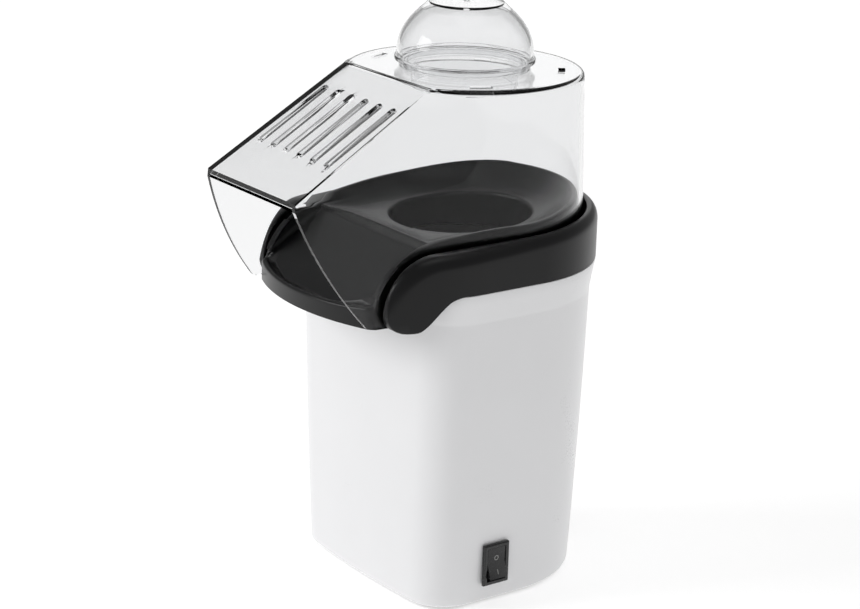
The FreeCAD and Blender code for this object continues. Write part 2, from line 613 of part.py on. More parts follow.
def chamber_spacer():
    """Heat-proof ring between the sleeve and the collar's deck."""
    top = HOUSING_TOP
    body = ring(SLEEVE_R + SLEEVE_WALL + 0.6, CHAMBER_R + CHAMBER_WALL + 0.5, top - SPACER_HEIGHT, top)
    step = ring(DECK_HOLE_R - FIT, CHAMBER_R + CHAMBER_WALL + 0.5, top - 0.5, DECK_TOP)
    body = join([body, step])
    for x, y in deck_screw_places():
        body = body.cut(cyl(SCREW_R - FIT, top - SPACER_HEIGHT - 1, DECK_TOP + 1, x, y))
    return body


def chamber_screws():
    top = DECK_TOP + CHAMBER_WALL
    return group([screw(x, y, top, -1, HEAD_R - 0.7, DECK_THICKNESS + 3.5, SCREW_R - FIT - 0.05)
                  for x, y in deck_screw_places()])


def screw(x, y, seat, way, head_r=HEAD_R, length=9.0, shank_r=SCREW_R - 0.05):
    """Screw whose head sits on a seat; way is the direction in which the shank points."""
    head_t = 1.6
    head = cyl(head_r, min(seat, seat - way * head_t), max(seat, seat - way * head_t), x, y)
    tip = seat + way * length
    shank = cyl(shank_r, min(seat, tip), max(seat, tip), x, y)
    whole = join([head, shank])
    outer_face = seat - way * head_t
    slot = box(x - head_r * 0.7, x + head_r * 0.7, y - 0.35, y + 0.35, outer_face - 0.7, outer_face + 0.7)
    cross = turned(slot, 90, x, y)
    return whole.cut(slot).cut(cross)


def duct_sleeve():
    top = HOUSING_TOP - SPACER_HEIGHT
    wall = ring(SLEEVE_R + SLEEVE_WALL, SLEEVE_R, PLATE_TOP, top)
    foot = ring(SLEEVE_R + 4.5, SLEEVE_R + SLEEVE_WALL - 0.2, PLATE_TOP, PLATE_TOP + SLEEVE_WALL)
    return join([wall, foot])


def duct_base_plate():
    plate = ring(SLEEVE_R + 6.0, DUCT_HOLE_R, DUCT_PLATE_Z, PLATE_TOP)
    ears = [cyl(PILLAR_R + 1.5, DUCT_PLATE_Z, PLATE_TOP, x, y) for x, y in PILLARS]
    arms = []
    for x, y in PILLARS:
        away = sqrt(x * x + y * y)
        arm = box(SLEEVE_R, away, -4.0, 4.0, DUCT_PLATE_Z, PLATE_TOP)
        arms.append(turned(arm, degrees(atan2(y, x))))
    plate = join([plate] + ears + arms)
    for x, y in PILLARS:
        plate = plate.cut(cyl(SCREW_R + FIT, DUCT_PLATE_Z - 1, PLATE_TOP + 1, x, y))
    return plate


def duct_screws():
    return group([screw(x, y, PLATE_TOP, -1) for x, y in PILLARS])


def coil_levels():
    return [COIL_Z + i * COIL_PITCH for i in range(COIL_TURNS)]


def heater_coil():
    """Turns of resistance wire, each one joined to the next by a short riser."""
    pieces = []
    for i, z in enumerate(coil_levels()):
        pieces.append(Part.makeTorus(COIL_R, COIL_WIRE_R, V(0, 0, z)))
        if i + 1 < COIL_TURNS:
            angle = radians(22.5 + 45.0 * (i % 2))
            x, y = COIL_R * cos(angle), COIL_R * sin(angle)
            pieces.append(cyl(COIL_WIRE_R * COIL_RISER, z, z + COIL_PITCH, x, y))
    return join(pieces)


def heater_frame():
    """Crossed mica plates with a round notch for each turn of the wire."""
    half = MICA_T / 2
    across = box(-MICA_R, MICA_R, -half, half, PLATE_TOP, MICA_TOP)
    cross = join([across, turned(across, 90)])
    cross = cross.cut(cyl(6.0, PLATE_TOP - 1, PLATE_TOP + 4))
    for z in coil_levels():
        cross = cross.cut(Part.makeTorus(COIL_R, COIL_WIRE_R + 0.1, V(0, 0, z)))
    return cross


def thermostat():
    """Snap-disc thermostat on a saddle against the sleeve, with two tabs."""
    seat = SLEEVE_R + SLEEVE_WALL
    body = Part.makeCylinder(8.0, 6.0, V(-seat - 0.9, 0, 80), V(-1, 0, 0))
    saddle = ring(seat + 1.4, seat + 0.05, 72, 88).common(box(-60, -30, -10, 10, 70, 90))
    tabs = [box(-seat - 11.0, -seat - 6.5, y - 1.6, y + 1.6, 79.6, 80.4) for y in (-4.5, 4.5)]
    return join([body, saddle] + tabs)


def thermal_fuse():
    """Cartridge fuse clipped to the sleeve, axis upright."""
    seat = SLEEVE_R + SLEEVE_WALL
    barrel = cyl(2.0, 74, 86, -seat - 2.7, 0)
    leads = cyl(0.5, 68, 92, -seat - 2.7, 0)
    clip = box(-seat - 3.0, -seat - 0.1, -1.5, 1.5, 78, 81)
    return turned(join([barrel, leads, clip]), 32)


# ---- blower and motor ----------------------------------------------------------------------------
def fan_housing():
    outer = FAN_CASE_R + FAN_CASE_WALL
    case = cyl(outer, FAN_CASE_Z, DUCT_PLATE_Z).cut(cyl(FAN_CASE_R, FAN_CASE_Z + 2.0, DUCT_PLATE_Z + 1))
    case = case.cut(cyl(INTAKE_R, FAN_CASE_Z - 1, FAN_CASE_Z + 3))
    flange = ring(outer + 4.0, outer - 0.2, DUCT_PLATE_Z - 1.6, DUCT_PLATE_Z)
    case = join([case, flange])
    for x, y in bracket_screw_places():
        case = case.cut(cyl(SCREW_R - 0.4, FAN_CASE_Z - 1, FAN_CASE_Z + 3, x, y))
    return case


def bracket_screw_places():
    reach = (INTAKE_R + FAN_CASE_R) / 2
    return [(reach * cos(radians(a)), reach * sin(radians(a))) for a in (90, 210, 330)]


def motor_bracket():
    """Three-armed bridge under the fan case that carries the motor."""
    low, high = FAN_CASE_Z - BRACKET_T, FAN_CASE_Z
    reach = (INTAKE_R + FAN_CASE_R) / 2
    pieces = [cyl(MOTOR_R, low, high)]
    for angle in (90, 210, 330):
        pieces.append(turned(box(0, reach + 4.0, -4.0, 4.0, low, high), angle))
    plate = join(pieces).cut(cyl(BEARING_R + 1.2, low - 1, high + 1))
    for x, y in bracket_screw_places():
        plate = plate.cut(cyl(SCREW_R - 0.3, low - 1, high + 1, x, y))
    for x in (-8.0, 8.0):
        plate = plate.cut(cyl(SCREW_R - 0.3, low - 1, high + 1, x, 0))
    return plate


def motor_screws():
    low, high = FAN_CASE_Z - BRACKET_T, FAN_CASE_Z
    shank = SCREW_R - 0.45
    to_motor = [screw(x, 0, high, -1, 2.2, BRACKET_T + 1.6, shank) for x in (-8.0, 8.0)]
    to_case = [screw(x, y, low, 1, 2.2, BRACKET_T + 1.8, shank) for x, y in bracket_screw_places()]
    return group(to_motor + to_case)


def motor_can():
    """Steel can, closed at the top, where the upper bearing sits."""
    low, high = MOTOR_Z
    can = cyl(MOTOR_R, low, high).cut(cyl(MOTOR_R - 1.2, low - 1, high - 1.6))
    can = can.cut(cyl(BEARING_R, high - 3, high + 1))
    for x in (-8.0, 8.0):
        can = can.cut(cyl(SCREW_R - 0.4, high - 3, high + 1, x, 0))
    return can


def motor_end_cap():
    low = MOTOR_Z[0]
    cap = cyl(MOTOR_R, low - 2.2, low).cut(cyl(BEARING_R, low - 3, low + 1))
    return cap


def motor_magnets():
    low, high = MOTOR_Z
    tube = ring(MOTOR_R - 1.3, ARMATURE_R + 0.8, low + 3, high - 4)
    return group([tube.common(box(1.5, 20, -20, 20, 0, 60)), tube.common(box(-20, -1.5, -20, 20, 0, 60))])


def motor_armature():
    low, high = MOTOR_Z
    core = cyl(ARMATURE_R, low + 4.5, high - 5.5)
    for angle in (0, 120, 240):
        core = core.cut(turned(box(4.0, 12.0, -1.2, 1.2, low, high), angle))
    return core.cut(cyl(SHAFT_R, low, high))


def motor_bearings():
    low, high = MOTOR_Z
    bore = SHAFT_R + SHAFT_CLEARANCE
    return group([ring(BEARING_R, bore, low - 2.2, low + 0.6), ring(BEARING_R, bore, high - 1.6, high + 1.0)])


def motor_shaft():
    return cyl(SHAFT_R, *SHAFT_Z)


def fan_impeller():
    """Hub, back plate and curved blades of the blower wheel."""
    low, high = IMPELLER_Z
    hub = cyl(6.0, low, high)
    plate = revolved([(0, high - 1.4), (FAN_R, high - 1.4), (FAN_R, high), (0, high)])
    blade_wire = [Part.Arc(V(17.0, 0, low), V(26.0, 4.0, low), V(FAN_R - 0.4, 11.0, low)).toShape()]
    face = Part.Wire(blade_wire).extrude(V(0, 0, high - low - 0.7))
    blade = face.makeOffsetShape(0.6, 0.01, fill=True)
    blades = [turned(blade, i * 360.0 / FAN_BLADES) for i in range(FAN_BLADES)]
    wheel = join([hub, plate] + blades)
    wheel = wheel.common(cyl(FAN_R, low, high))
    return wheel.cut(cyl(SHAFT_R, low - 1, high + 1))


def rectifier_board():
    top = MOTOR_Z[0] - 2.2
    return ring(BOARD_R, BEARING_R + 1.0, top - BOARD_T, top)


def rectifier_diodes():
    seat = MOTOR_Z[0] - 2.2
    diodes = []
    for angle in (45, 135, 225, 315):
        body = Part.makeCylinder(1.4, 5.2, V(17.6, -2.6, seat + 1.4), V(0, 1, 0))
        lead = Part.makeCylinder(0.4, 8.8, V(17.6, -4.4, seat + 1.4), V(0, 1, 0))
        legs = [cyl(0.4, seat, seat + 1.4, 17.6, y) for y in (-4.2, 4.2)]
        diodes.append(turned(join([body, lead] + legs), angle))
    return group(diodes)


# ---- underside -----------------------------------------------------------------------------------
def bottom_cover():
    """Floor plate with rows of intake slots below the motor."""
    plan = tower_outline(BASE_HALF, BASE_FRONT, COVER_Z, HOUSING_WALL + FIT)
    plate = Part.Face(plan).extrude(V(0, 0, COVER_T))
    slot_len, pitch = 32.0, 6.0
    for i in range(-4, 5):
        plate = plate.cut(box(i * pitch - 1.3, i * pitch + 1.3, -slot_len / 2, slot_len / 2, 0, 10))
    for x, y in PILLARS:
        plate = plate.cut(cyl(SCREW_R + FIT, 0, 10, x, y))
        plate = plate.cut(cyl(HEAD_R + 0.3, 0, COVER_Z + 0.6, x, y))
    for x, y in FEET:
        plate = plate.cut(cyl(FOOT_R / 2, 0, 10, x, y))
    return plate


def cover_screws():
    seat = COVER_Z + 0.6
    return group([screw(x, y, seat, 1, head_r=HEAD_R, length=10.0) for x, y in PILLARS])


def rubber_feet():
    """Push-in feet: pad below the cover, neck through it, bead above it."""
    top = COVER_Z + COVER_T
    profile = [(0, 0), (FOOT_R - 0.8, 0), (FOOT_R, 0.8), (FOOT_R, COVER_Z), (FOOT_R / 2, COVER_Z),
               (FOOT_R / 2, top), (FOOT_R / 2 + 0.8, top), (FOOT_R / 2 - 0.6, top + 2.5), (0, top + 2.5)]
    foot = revolved(profile)
    feet = []
    for x, y in FEET:
        copy = foot.copy()
        copy.translate(V(x, y, 0))
        feet.append(copy)
    return group(feet)


def cord_inlet():
    """Flanged bushing in the back wall, with the hole that a mains cord would pass."""
    wall_y = BASE_HALF + (MID_HALF - BASE_HALF) * (INLET_Z - FOOT_HEIGHT) / (MID_Z - FOOT_HEIGHT)

    def along(radius, y0, y1):
        return Part.makeCylinder(radius, y1 - y0, V(0, y0, INLET_Z), V(0, 1, 0))

    outer = wall_y + 0.6
    sleeve = along(INLET_R - 0.1, wall_y - 8.0, outer + 1.6)
    flange = along(INLET_R + 2.0, outer, outer + 1.6)
    collar = along(INLET_R + 1.2, wall_y - HOUSING_WALL - 2.6, wall_y - HOUSING_WALL - 1.0)
    return join([sleeve, flange, collar]).cut(along(3.4, wall_y - 20, wall_y + 20))


# ---- switch --------------------------------------------------------------------------------------
def switch_face_x():
    """Outside face of the housing's side wall, at the top of the switch frame."""
    rise = (SWITCH_Z + SWITCH_HEIGHT / 2 - FOOT_HEIGHT) / (MID_Z - FOOT_HEIGHT)
    return BASE_HALF + (MID_HALF - BASE_HALF) * rise + 0.45


def switch_bezel():
    """Frame on the wall and the open-fronted case behind it, snapped into the cut-out."""
    x = switch_face_x()
    hy, hz, rim = SWITCH_WIDTH / 2, SWITCH_HEIGHT / 2, SWITCH_FRAME
    frame = box(x, x + 2.0, SWITCH_Y - hy, SWITCH_Y + hy, SWITCH_Z - hz, SWITCH_Z + hz)
    edges = [e for e in frame.Edges if e.BoundBox.XMin > x + 1.9]
    frame = frame.makeFillet(0.8, edges)
    hy, hz = hy - rim, hz - rim
    gap = box(x - 5.0, x + 5, SWITCH_Y - hy, SWITCH_Y + hy, SWITCH_Z - hz, SWITCH_Z + hz)
    hy, hz = SWITCH_WIDTH / 2 - 1.2, SWITCH_HEIGHT / 2 - 1.2
    collar = box(x - 5.0, x + 0.5, SWITCH_Y - hy, SWITCH_Y + hy, SWITCH_Z - hz, SWITCH_Z + hz)
    return join([frame, collar]).cut(gap)


def switch_case():
    x = switch_face_x() - 5.0
    hy, hz = SWITCH_WIDTH / 2 - 1.6, SWITCH_HEIGHT / 2 - 1.6
    body = box(x - SWITCH_DEPTH + 5.0, x, SWITCH_Y - hy, SWITCH_Y + hy, SWITCH_Z - hz, SWITCH_Z + hz)
    y_in, z_in = hy - 1.2, hz - 1.2
    hollow = box(x - 4.0, x + 1, SWITCH_Y - y_in, SWITCH_Y + y_in, SWITCH_Z - z_in, SWITCH_Z + z_in)
    return body.cut(hollow)


def switch_terminals():
    x = switch_face_x() - SWITCH_DEPTH
    return group([box(x - 8.0, x, SWITCH_Y - 2.4, SWITCH_Y + 2.4, SWITCH_Z + dz - 0.4, SWITCH_Z + dz + 0.4)
                  for dz in (-5.5, 5.5)])


def switch_rocker():
    """Rocker with a shallow V-shaped face, shown with its upper half pressed in."""
    pivot = V(rocker_pivot_x(), SWITCH_Y, SWITCH_Z)
    hy, hz = SWITCH_WIDTH / 2 - SWITCH_FRAME - 0.35, SWITCH_HEIGHT / 2 - SWITCH_FRAME - 0.85
    face = 4.6
    outline = [V(-1.0, 0, -hz + 1.2), V(face, 0, -hz), V(face - 1.6, 0, 0), V(face, 0, hz),
               V(-1.0, 0, hz - 1.2)]
    solid = Part.Face(Part.makePolygon(outline + [outline[0]])).extrude(V(0, 2 * hy, 0))
    solid.translate(V(0, -hy, 0))
    solid.rotate(V(0, 0, 0), V(0, 1, 0), -ROCKER_TILT)
    solid.translate(pivot)
    return solid.cut(rocker_pin_hole(0.05))


def rocker_pivot_x():
    return switch_face_x() - 1.6


def rocker_pin_hole(grow):
    hy = SWITCH_WIDTH / 2
    start = V(rocker_pivot_x(), SWITCH_Y - hy - 2, SWITCH_Z)
    return Part.makeCylinder(0.8 + grow, 2 * hy + 4, start, V(0, 1, 0))


def rocker_pin():
    hy = SWITCH_WIDTH / 2 - SWITCH_FRAME
    return Part.makeCylinder(0.8, 2 * hy, V(rocker_pivot_x(), SWITCH_Y - hy, SWITCH_Z), V(0, 1, 0))


PIECES = [base_housing, collar_ring, chute_bowl, clear_hood, measuring_cup, popping_chamber, chamber_spacer,
          chamber_screws, duct_sleeve, duct_base_plate, duct_screws, heater_coil, heater_frame, thermostat,
          thermal_fuse, fan_housing, motor_bracket, motor_screws, motor_can, motor_end_cap, motor_magnets,
          motor_armature, motor_bearings, motor_shaft, fan_impeller, rectifier_board, rectifier_diodes,
          bottom_cover, cover_screws, rubber_feet, cord_inlet, switch_bezel, switch_case, switch_terminals,
          switch_rocker, rocker_pin]

os.makedirs("parts", exist_ok=True)
for piece in PIECES:
    shape = piece()
    shape.translate(V(0, Y_SHIFT, 0))
    shape.exportStep("parts/" + piece.__name__ + ".step")
    print(piece.__name__, shape.isValid(), len(shape.Solids), round(shape.Volume))
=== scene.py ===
"""Looks of a hot-air popcorn maker: white tower, black collar and chute bowl, clear hood and
measuring cup. Sizes are in millimetres about the tower's axis; `place` turns them into the row
frame, in metres, whose origin lies midway along the whole object's footprint.
"""
import bmesh, bpy, json
from math import acos, asin, atan2, cos, pi, radians, sin, sqrt, tan
from mathutils import Matrix, Vector


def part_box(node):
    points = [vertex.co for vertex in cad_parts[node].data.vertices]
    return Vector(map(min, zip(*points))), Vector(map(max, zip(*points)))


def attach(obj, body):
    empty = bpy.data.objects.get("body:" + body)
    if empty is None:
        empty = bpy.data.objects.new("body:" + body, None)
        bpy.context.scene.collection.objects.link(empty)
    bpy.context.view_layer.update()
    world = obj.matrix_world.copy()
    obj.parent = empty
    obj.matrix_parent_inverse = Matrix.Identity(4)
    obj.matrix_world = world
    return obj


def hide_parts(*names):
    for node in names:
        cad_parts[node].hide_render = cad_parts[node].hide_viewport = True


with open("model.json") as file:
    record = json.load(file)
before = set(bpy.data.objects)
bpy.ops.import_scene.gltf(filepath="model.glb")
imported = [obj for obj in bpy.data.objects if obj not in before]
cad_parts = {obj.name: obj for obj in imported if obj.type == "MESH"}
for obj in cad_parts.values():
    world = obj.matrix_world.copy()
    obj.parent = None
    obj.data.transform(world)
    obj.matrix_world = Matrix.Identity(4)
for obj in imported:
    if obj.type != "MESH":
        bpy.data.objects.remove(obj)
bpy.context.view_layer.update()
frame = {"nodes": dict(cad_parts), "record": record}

# ---- Housing ----------------------------------------------------------------------------------
# The tower is one white ABS moulding with a satin gloss: a round back, flat sides and a slightly
# bowed front, widening upwards to a flared band that carries the collar. The wall is 2.4 mm.
# The switch snaps into a cut-out low in its right side, and the cord bushing into its back.
MM = 0.001
AXIS_Y = (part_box("popping_chamber")[0].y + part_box("popping_chamber")[1].y) / 2 / MM
HOUSING_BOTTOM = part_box("base_housing")[0].z / MM
HOUSING_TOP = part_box("base_housing")[1].z / MM
RIM_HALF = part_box("base_housing")[1].x / MM
SECTIONS = ((2.0, 59.8, 55.6), (70.0, 62.6, 57.2), (146.0, 64.6, 58.4))   # height, half width, front
RIM_FRONT = 60.0
CREASE_Z, FLARE_Z = 146.0, 161.0
CORNER_R, FRONT_BOW_R = 20.0, 520.0
WALL, EDGE_R = 2.4, 1.6
SWITCH_Y, SWITCH_Z = -18.5, 21.5
CUT_HALF_Y, CUT_HALF_Z = 6.5, 9.5
INLET_Z, INLET_HALF = 18.0, 4.6


def place(point):
    """Row frame position, in metres, of a point given in millimetres about the tower's axis."""
    return (point[0] * MM, (point[1] + AXIS_Y) * MM, point[2] * MM)


def along_sections(z, column):
    """Smooth curve through the three given sections of the tower."""
    (z0, z1, z2), (a, b, c) = [s[0] for s in SECTIONS], [s[column] for s in SECTIONS]
    return (a * (z - z1) * (z - z2) / ((z0 - z1) * (z0 - z2))
            + b * (z - z0) * (z - z2) / ((z1 - z0) * (z1 - z2))
            + c * (z - z0) * (z - z1) / ((z2 - z0) * (z2 - z1)))


def tower_size(z):
    """Half width and front reach at a height; above the crease the wall flares straight out."""
    if z <= CREASE_Z:
        return along_sections(z, 1), along_sections(z, 2)
    share = min(1.0, (z - CREASE_Z) / (FLARE_Z - CREASE_Z))
    half, front = SECTIONS[2][1], SECTIONS[2][2]
    return half + (RIM_HALF - half) * share, front + (RIM_FRONT - front) * share


def tower_ring(z, inset, turns=(56, 12, 20)):
    """Points of the tower's outline at a height, starting at the back and going round by the right."""
    back_steps, corner_steps, front_steps = turns
    half, front = tower_size(z)
    half, front = half - inset, front - inset
    corner, bow = CORNER_R - inset, FRONT_BOW_R - inset
    bow_y = bow - front
    lean = asin((half - corner) / (bow - corner))
    centre_y = bow_y - (bow - corner) * cos(lean)
    right = [(half * sin(pi / 2 * i / back_steps), half * cos(pi / 2 * i / back_steps))
             for i in range(back_steps + 1)]
    edges = (-6.0, SWITCH_Y + CUT_HALF_Y, SWITCH_Y, SWITCH_Y - CUT_HALF_Y, -30.0)
    right += [(half, y) for y in edges]
    for i in range(corner_steps + 1):
        turn = (pi / 2 - lean) * i / corner_steps
        right.append((half - corner + corner * cos(turn), centre_y - corner * sin(turn)))
    for i in range(1, front_steps):
        turn = lean * (1 - i / front_steps)
        right.append((bow * sin(turn), bow_y - bow * cos(turn)))
    right.append((0.0, bow_y - bow))
    left = [(-x, y) for x, y in reversed(right[1:-1])]
    return [(x, y, z) for x, y in right + left]


def grid_mesh(name, rows, wrap_rows, wrap_columns, keep=None):
    """Mesh of quads over rows of points in millimetres; keep says which quads stay."""
    count = len(rows[0])
    mesh = bpy.data.meshes.new(name)
    quads = []
    for i in range(len(rows) if wrap_rows else len(rows) - 1):
        for j in range(count if wrap_columns else count - 1):
            if keep is None or keep(i, j):
                below, beside = (i + 1) % len(rows), (j + 1) % count
                quads.append((i * count + j, i * count + beside, below * count + beside, below * count + j))
    mesh.from_pydata([place(p) for row in rows for p in row], [], quads)
    return mesh


def joined(name, meshes, merge=0.00002):
    """One mesh out of several, with coincident points merged, spare ones dropped and faces outwards."""
    work = bmesh.new()
    for mesh in meshes:
        work.from_mesh(mesh)
    bmesh.ops.remove_doubles(work, verts=work.verts, dist=merge)
    bmesh.ops.delete(work, geom=[v for v in work.verts if not v.link_faces], context="VERTS")
    bmesh.ops.recalc_face_normals(work, faces=work.faces)
    whole = bpy.data.meshes.new(name)
    work.to_mesh(whole)
    work.free()
    return whole


def piece(name, mesh, body, material, replaces=(), sharp=38.0):
    """Object for a finished mesh, smooth except at its sharp edges, riding on a body."""
    made = bpy.data.objects.new(name, mesh)
    bpy.context.scene.collection.objects.link(made)
    mesh.materials.clear()
    mesh.materials.append(material)
    mesh.shade_smooth()
    mesh.set_sharp_from_angle(angle=radians(sharp))
    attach(made, body)
    if replaces:
        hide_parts(*replaces)
    return made


def baked(made):
    """Plain mesh of an object with its modifiers applied, in place of the object."""
    depsgraph = bpy.context.evaluated_depsgraph_get()
    mesh = bpy.data.meshes.new_from_object(made.evaluated_get(depsgraph))
    bpy.data.objects.remove(made)
    return mesh


def loose(name, mesh):
    """Object that is linked to the scene and not yet a finished piece."""
    made = bpy.data.objects.new(name, mesh)
    bpy.context.scene.collection.objects.link(made)
    return made


class Wire:
    """A socket of a material, so that sums on it read as ordinary sums."""

    def __init__(self, tree, socket):
        self.tree, self.socket = tree, socket

    def node(self, kind, settings=(), output=0, **values):
        """New node of this tree; values name its inputs, with _ for a space, or number them as i0."""
        made = self.tree.nodes.new(kind)
        for key, value in dict(settings).items():
            setattr(made, key, value)
        for key, value in values.items():
            socket = made.inputs[int(key[1:]) if key[1:].isdigit() else key.replace("_", " ")]
            if isinstance(value, Wire):
                self.tree.links.new(value.socket, socket)
            else:
                socket.default_value = value
        return Wire(self.tree, made.outputs[output])

    def vector(self, **parts):
        return self.node("ShaderNodeCombineXYZ", **parts)

    def moved(self, **change):
        return self.node("GeometryNodeTransform", Geometry=self, **change)

    def maths(self, operation, a, b):
        return self.node("ShaderNodeMath", {"operation": operation}, i0=a, i1=b)

    def __add__(self, other):
        return self.maths("ADD", self, other)

    def __sub__(self, other):
        return self.maths("SUBTRACT", self, other)

    def __rsub__(self, other):
        return self.maths("SUBTRACT", other, self)

    def __mul__(self, other):
        return self.maths("MULTIPLY", self, other)

    __radd__, __rmul__ = __add__, __mul__


def finish(name, **constants):
    """New material: its shader, its Object coordinates as a Wire, and itself."""
    material = bpy.data.materials.new(name)
    material.use_nodes = True
    tree = material.node_tree
    shader = tree.nodes["Principled BSDF"]
    for key, value in constants.items():
        shader.inputs[key.replace("_", " ")].default_value = value
    start = Wire(tree, None)
    return material, shader, start.node("ShaderNodeTexCoord", output=3)


def feed(shader, key, wire):
    """Links a wire to one of the shader's inputs."""
    wire.tree.links.new(wire.socket, shader.inputs[key])


def mixed(factor, low, high):
    """Colour between two colours, given as red, green and blue."""
    colours = {"i6": (*low, 1.0), "i7": (*high, 1.0)}
    return factor.node("ShaderNodeMix", {"data_type": "RGBA"}, output=2, i0=factor, **colours)


def noise(coords, scale, detail=2.0, roughness=0.5):
    return coords.node("ShaderNodeTexNoise", Vector=coords, Scale=scale, Detail=detail, Roughness=roughness)


def relief(wire, height, distance, strength=1.0):
    """Bump that follows a height."""
    return wire.node("ShaderNodeBump", Height=height, Distance=distance, Strength=strength)


white_abs, shader, spot = finish("white_abs", IOR=1.5, Coat_Roughness=0.12)
clouds, grain = noise(spot, 26.0, 3.0), noise(spot, 1500.0, 3.0)
feed(shader, "Base Color", mixed(clouds, (0.795, 0.795, 0.805), (0.835, 0.835, 0.845)))
feed(shader, "Roughness", clouds * 0.10 + grain * 0.06 + 0.22)
feed(shader, "Coat Weight", clouds * 0.10 + 0.12)
feed(shader, "Normal", relief(spot, grain + clouds * 12.0, 0.00002, 0.35))

EDGE_STEPS, WALL_START, WALL_PITCH, WALL_ROWS = 6, 38.0, 9.0, 12
CREASE_ROWS = (-1.5, -0.5, 0.0, 0.6, 1.4, 2.5, 3.5, 4.3, 4.7, 5.0, 5.4, 6.2, 10.0)
edge_turns = [pi / 2 * i / EDGE_STEPS for i in range(EDGE_STEPS + 1)]
heights = [HOUSING_BOTTOM + EDGE_R * (1 - cos(turn)) for turn in edge_turns]
edge_inset = [EDGE_R * (1 - sin(turn)) for turn in edge_turns]
heights += [SWITCH_Z - CUT_HALF_Z, INLET_Z - INLET_HALF, INLET_Z + INLET_HALF, SWITCH_Z + CUT_HALF_Z]
heights += [WALL_START + WALL_PITCH * i for i in range(WALL_ROWS)] + [CREASE_Z + up for up in CREASE_ROWS]
heights += [HOUSING_TOP - 0.5, HOUSING_TOP - 0.15, HOUSING_TOP]
edge_inset += [0.0] * (len(heights) - len(edge_inset) - 3) + [0.0, 0.15, 0.5]
rows = [tower_ring(z, inset) for z, inset in zip(heights, edge_inset)]
rows += [tower_ring(z, WALL) for z in reversed(heights)]
columns = len(rows[0])


def wall_quad_stays(i, j):
    """False inside the switch's cut-out and the bushing's hole, in the outer and the inner wall."""
    a, b = rows[i][j], rows[(i + 1) % len(rows)][(j + 1) % columns]
    mid = [(p + q) / 2 for p, q in zip(a, b)]
    in_switch = mid[0] > 50 and abs(mid[1] - SWITCH_Y) < CUT_HALF_Y and abs(mid[2] - SWITCH_Z) < CUT_HALF_Z
    in_inlet = mid[1] > 50 and abs(mid[0]) < INLET_HALF and abs(mid[2] - INLET_Z) < INLET_HALF
    return not (in_switch or in_inlet)


housing = joined("tower", [grid_mesh("tower", rows, True, True, wall_quad_stays)])
work = bmesh.new()
work.from_mesh(housing)
rims = [e for e in work.edges if len(e.link_faces) == 1]
for low_x in (True, False):
    chosen = [e for e in rims if (e.verts[0].co.x > 0.05) == low_x]
    bmesh.ops.bridge_loops(work, edges=chosen)
bmesh.ops.recalc_face_normals(work, faces=work.faces)
work.to_mesh(housing)
work.free()
piece("tower_shell", housing, "base", white_abs, ["base_housing"])

# ---- Hood ---------------------------------------------------------------------------------------
# One clear polystyrene moulding, 2 mm thick. A round drum with a flat top runs forwards into a
# slanted panel with six slots and an open mouth over the chute. A neck hangs in the middle of the
# top, a low ring centres the cup, and two legs go down beside the chute.
HOOD_TOP, HOOD_SEAT, HOOD_LEG, HOOD_LOW = 252.0, 176.0, 148.0, 146.0
HOOD_TOP_R, HOOD_LOW_R, HOOD_WALL, HOOD_EDGE_R = 57.5, 60.9, 2.0, 2.5
PANEL_TOP_Y, NOSE_Y, NOSE_Z, NOSE_HALF, NOSE_BAND = -45.6, -119.5, 208.4, 37.6, 4.0
LOW_FRONT_HALF, LEG_Y, LEG_TURN, LEG_DROP = 46.4, -62.5, 5.0, 6.0
ROOM_SPREAD, SOFT_FROM_Y, SOFT_OVER = 0.18, -44.0, 8.0
MOUTH = ((-119.5, 204.4), (-106.0, 174.5), (-87.0, 147.0))
WELL_R, WELL_WALL, WELL_LOW = 24.0, 1.6, 242.0
RING_R, RING_WALL, RING_HEIGHT = 29.3, 1.8, 3.0
PANEL_FALL = (HOOD_TOP - NOSE_Z) / (PANEL_TOP_Y - NOSE_Y)
PANEL_LEAN = atan2(PANEL_FALL, 1.0)


def circle_through(a, b, c):
    """Centre and radius of the circle through three points of a plane."""
    d = 2 * (a[0] * (b[1] - c[1]) + b[0] * (c[1] - a[1]) + c[0] * (a[1] - b[1]))
    squares = [p[0] ** 2 + p[1] ** 2 for p in (a, b, c)]
    x = (squares[0] * (b[1] - c[1]) + squares[1] * (c[1] - a[1]) + squares[2] * (a[1] - b[1])) / d
    y = (squares[0] * (c[0] - b[0]) + squares[1] * (a[0] - c[0]) + squares[2] * (b[0] - a[0])) / d
    return x, y, sqrt((a[0] - x) ** 2 + (a[1] - y) ** 2)


mouth_y, mouth_z, mouth_r = circle_through(*MOUTH)


def hood_radius(z, inset):
    """Radius of the drum at a height; it widens a little downwards."""
    return HOOD_TOP_R + (HOOD_LOW_R - HOOD_TOP_R) * (HOOD_TOP - z) / (HOOD_TOP - HOOD_LOW) - inset


def front_corner(z, inset, room=0.0):
    """Half width and position of the front edge at a height; room lengthens it past the mouth."""
    shift = inset / sin(PANEL_LEAN)
    top_y = PANEL_TOP_Y - inset / PANEL_FALL + shift
    top_half = sqrt(hood_radius(HOOD_TOP - inset, inset) ** 2 - top_y ** 2)
    nose_z = HOOD_TOP - PANEL_FALL * (PANEL_TOP_Y + shift - NOSE_Y)
    if z >= nose_z:
        share = (HOOD_TOP - inset - z) / (HOOD_TOP - inset - nose_z)
        return top_half + (NOSE_HALF - inset - top_half) * share, top_y + (NOSE_Y - top_y) * share
    share = (nose_z - z) / (nose_z - HOOD_LOW)
    return NOSE_HALF - room * ROOM_SPREAD + (LOW_FRONT_HALF - NOSE_HALF) * share - inset, NOSE_Y - room


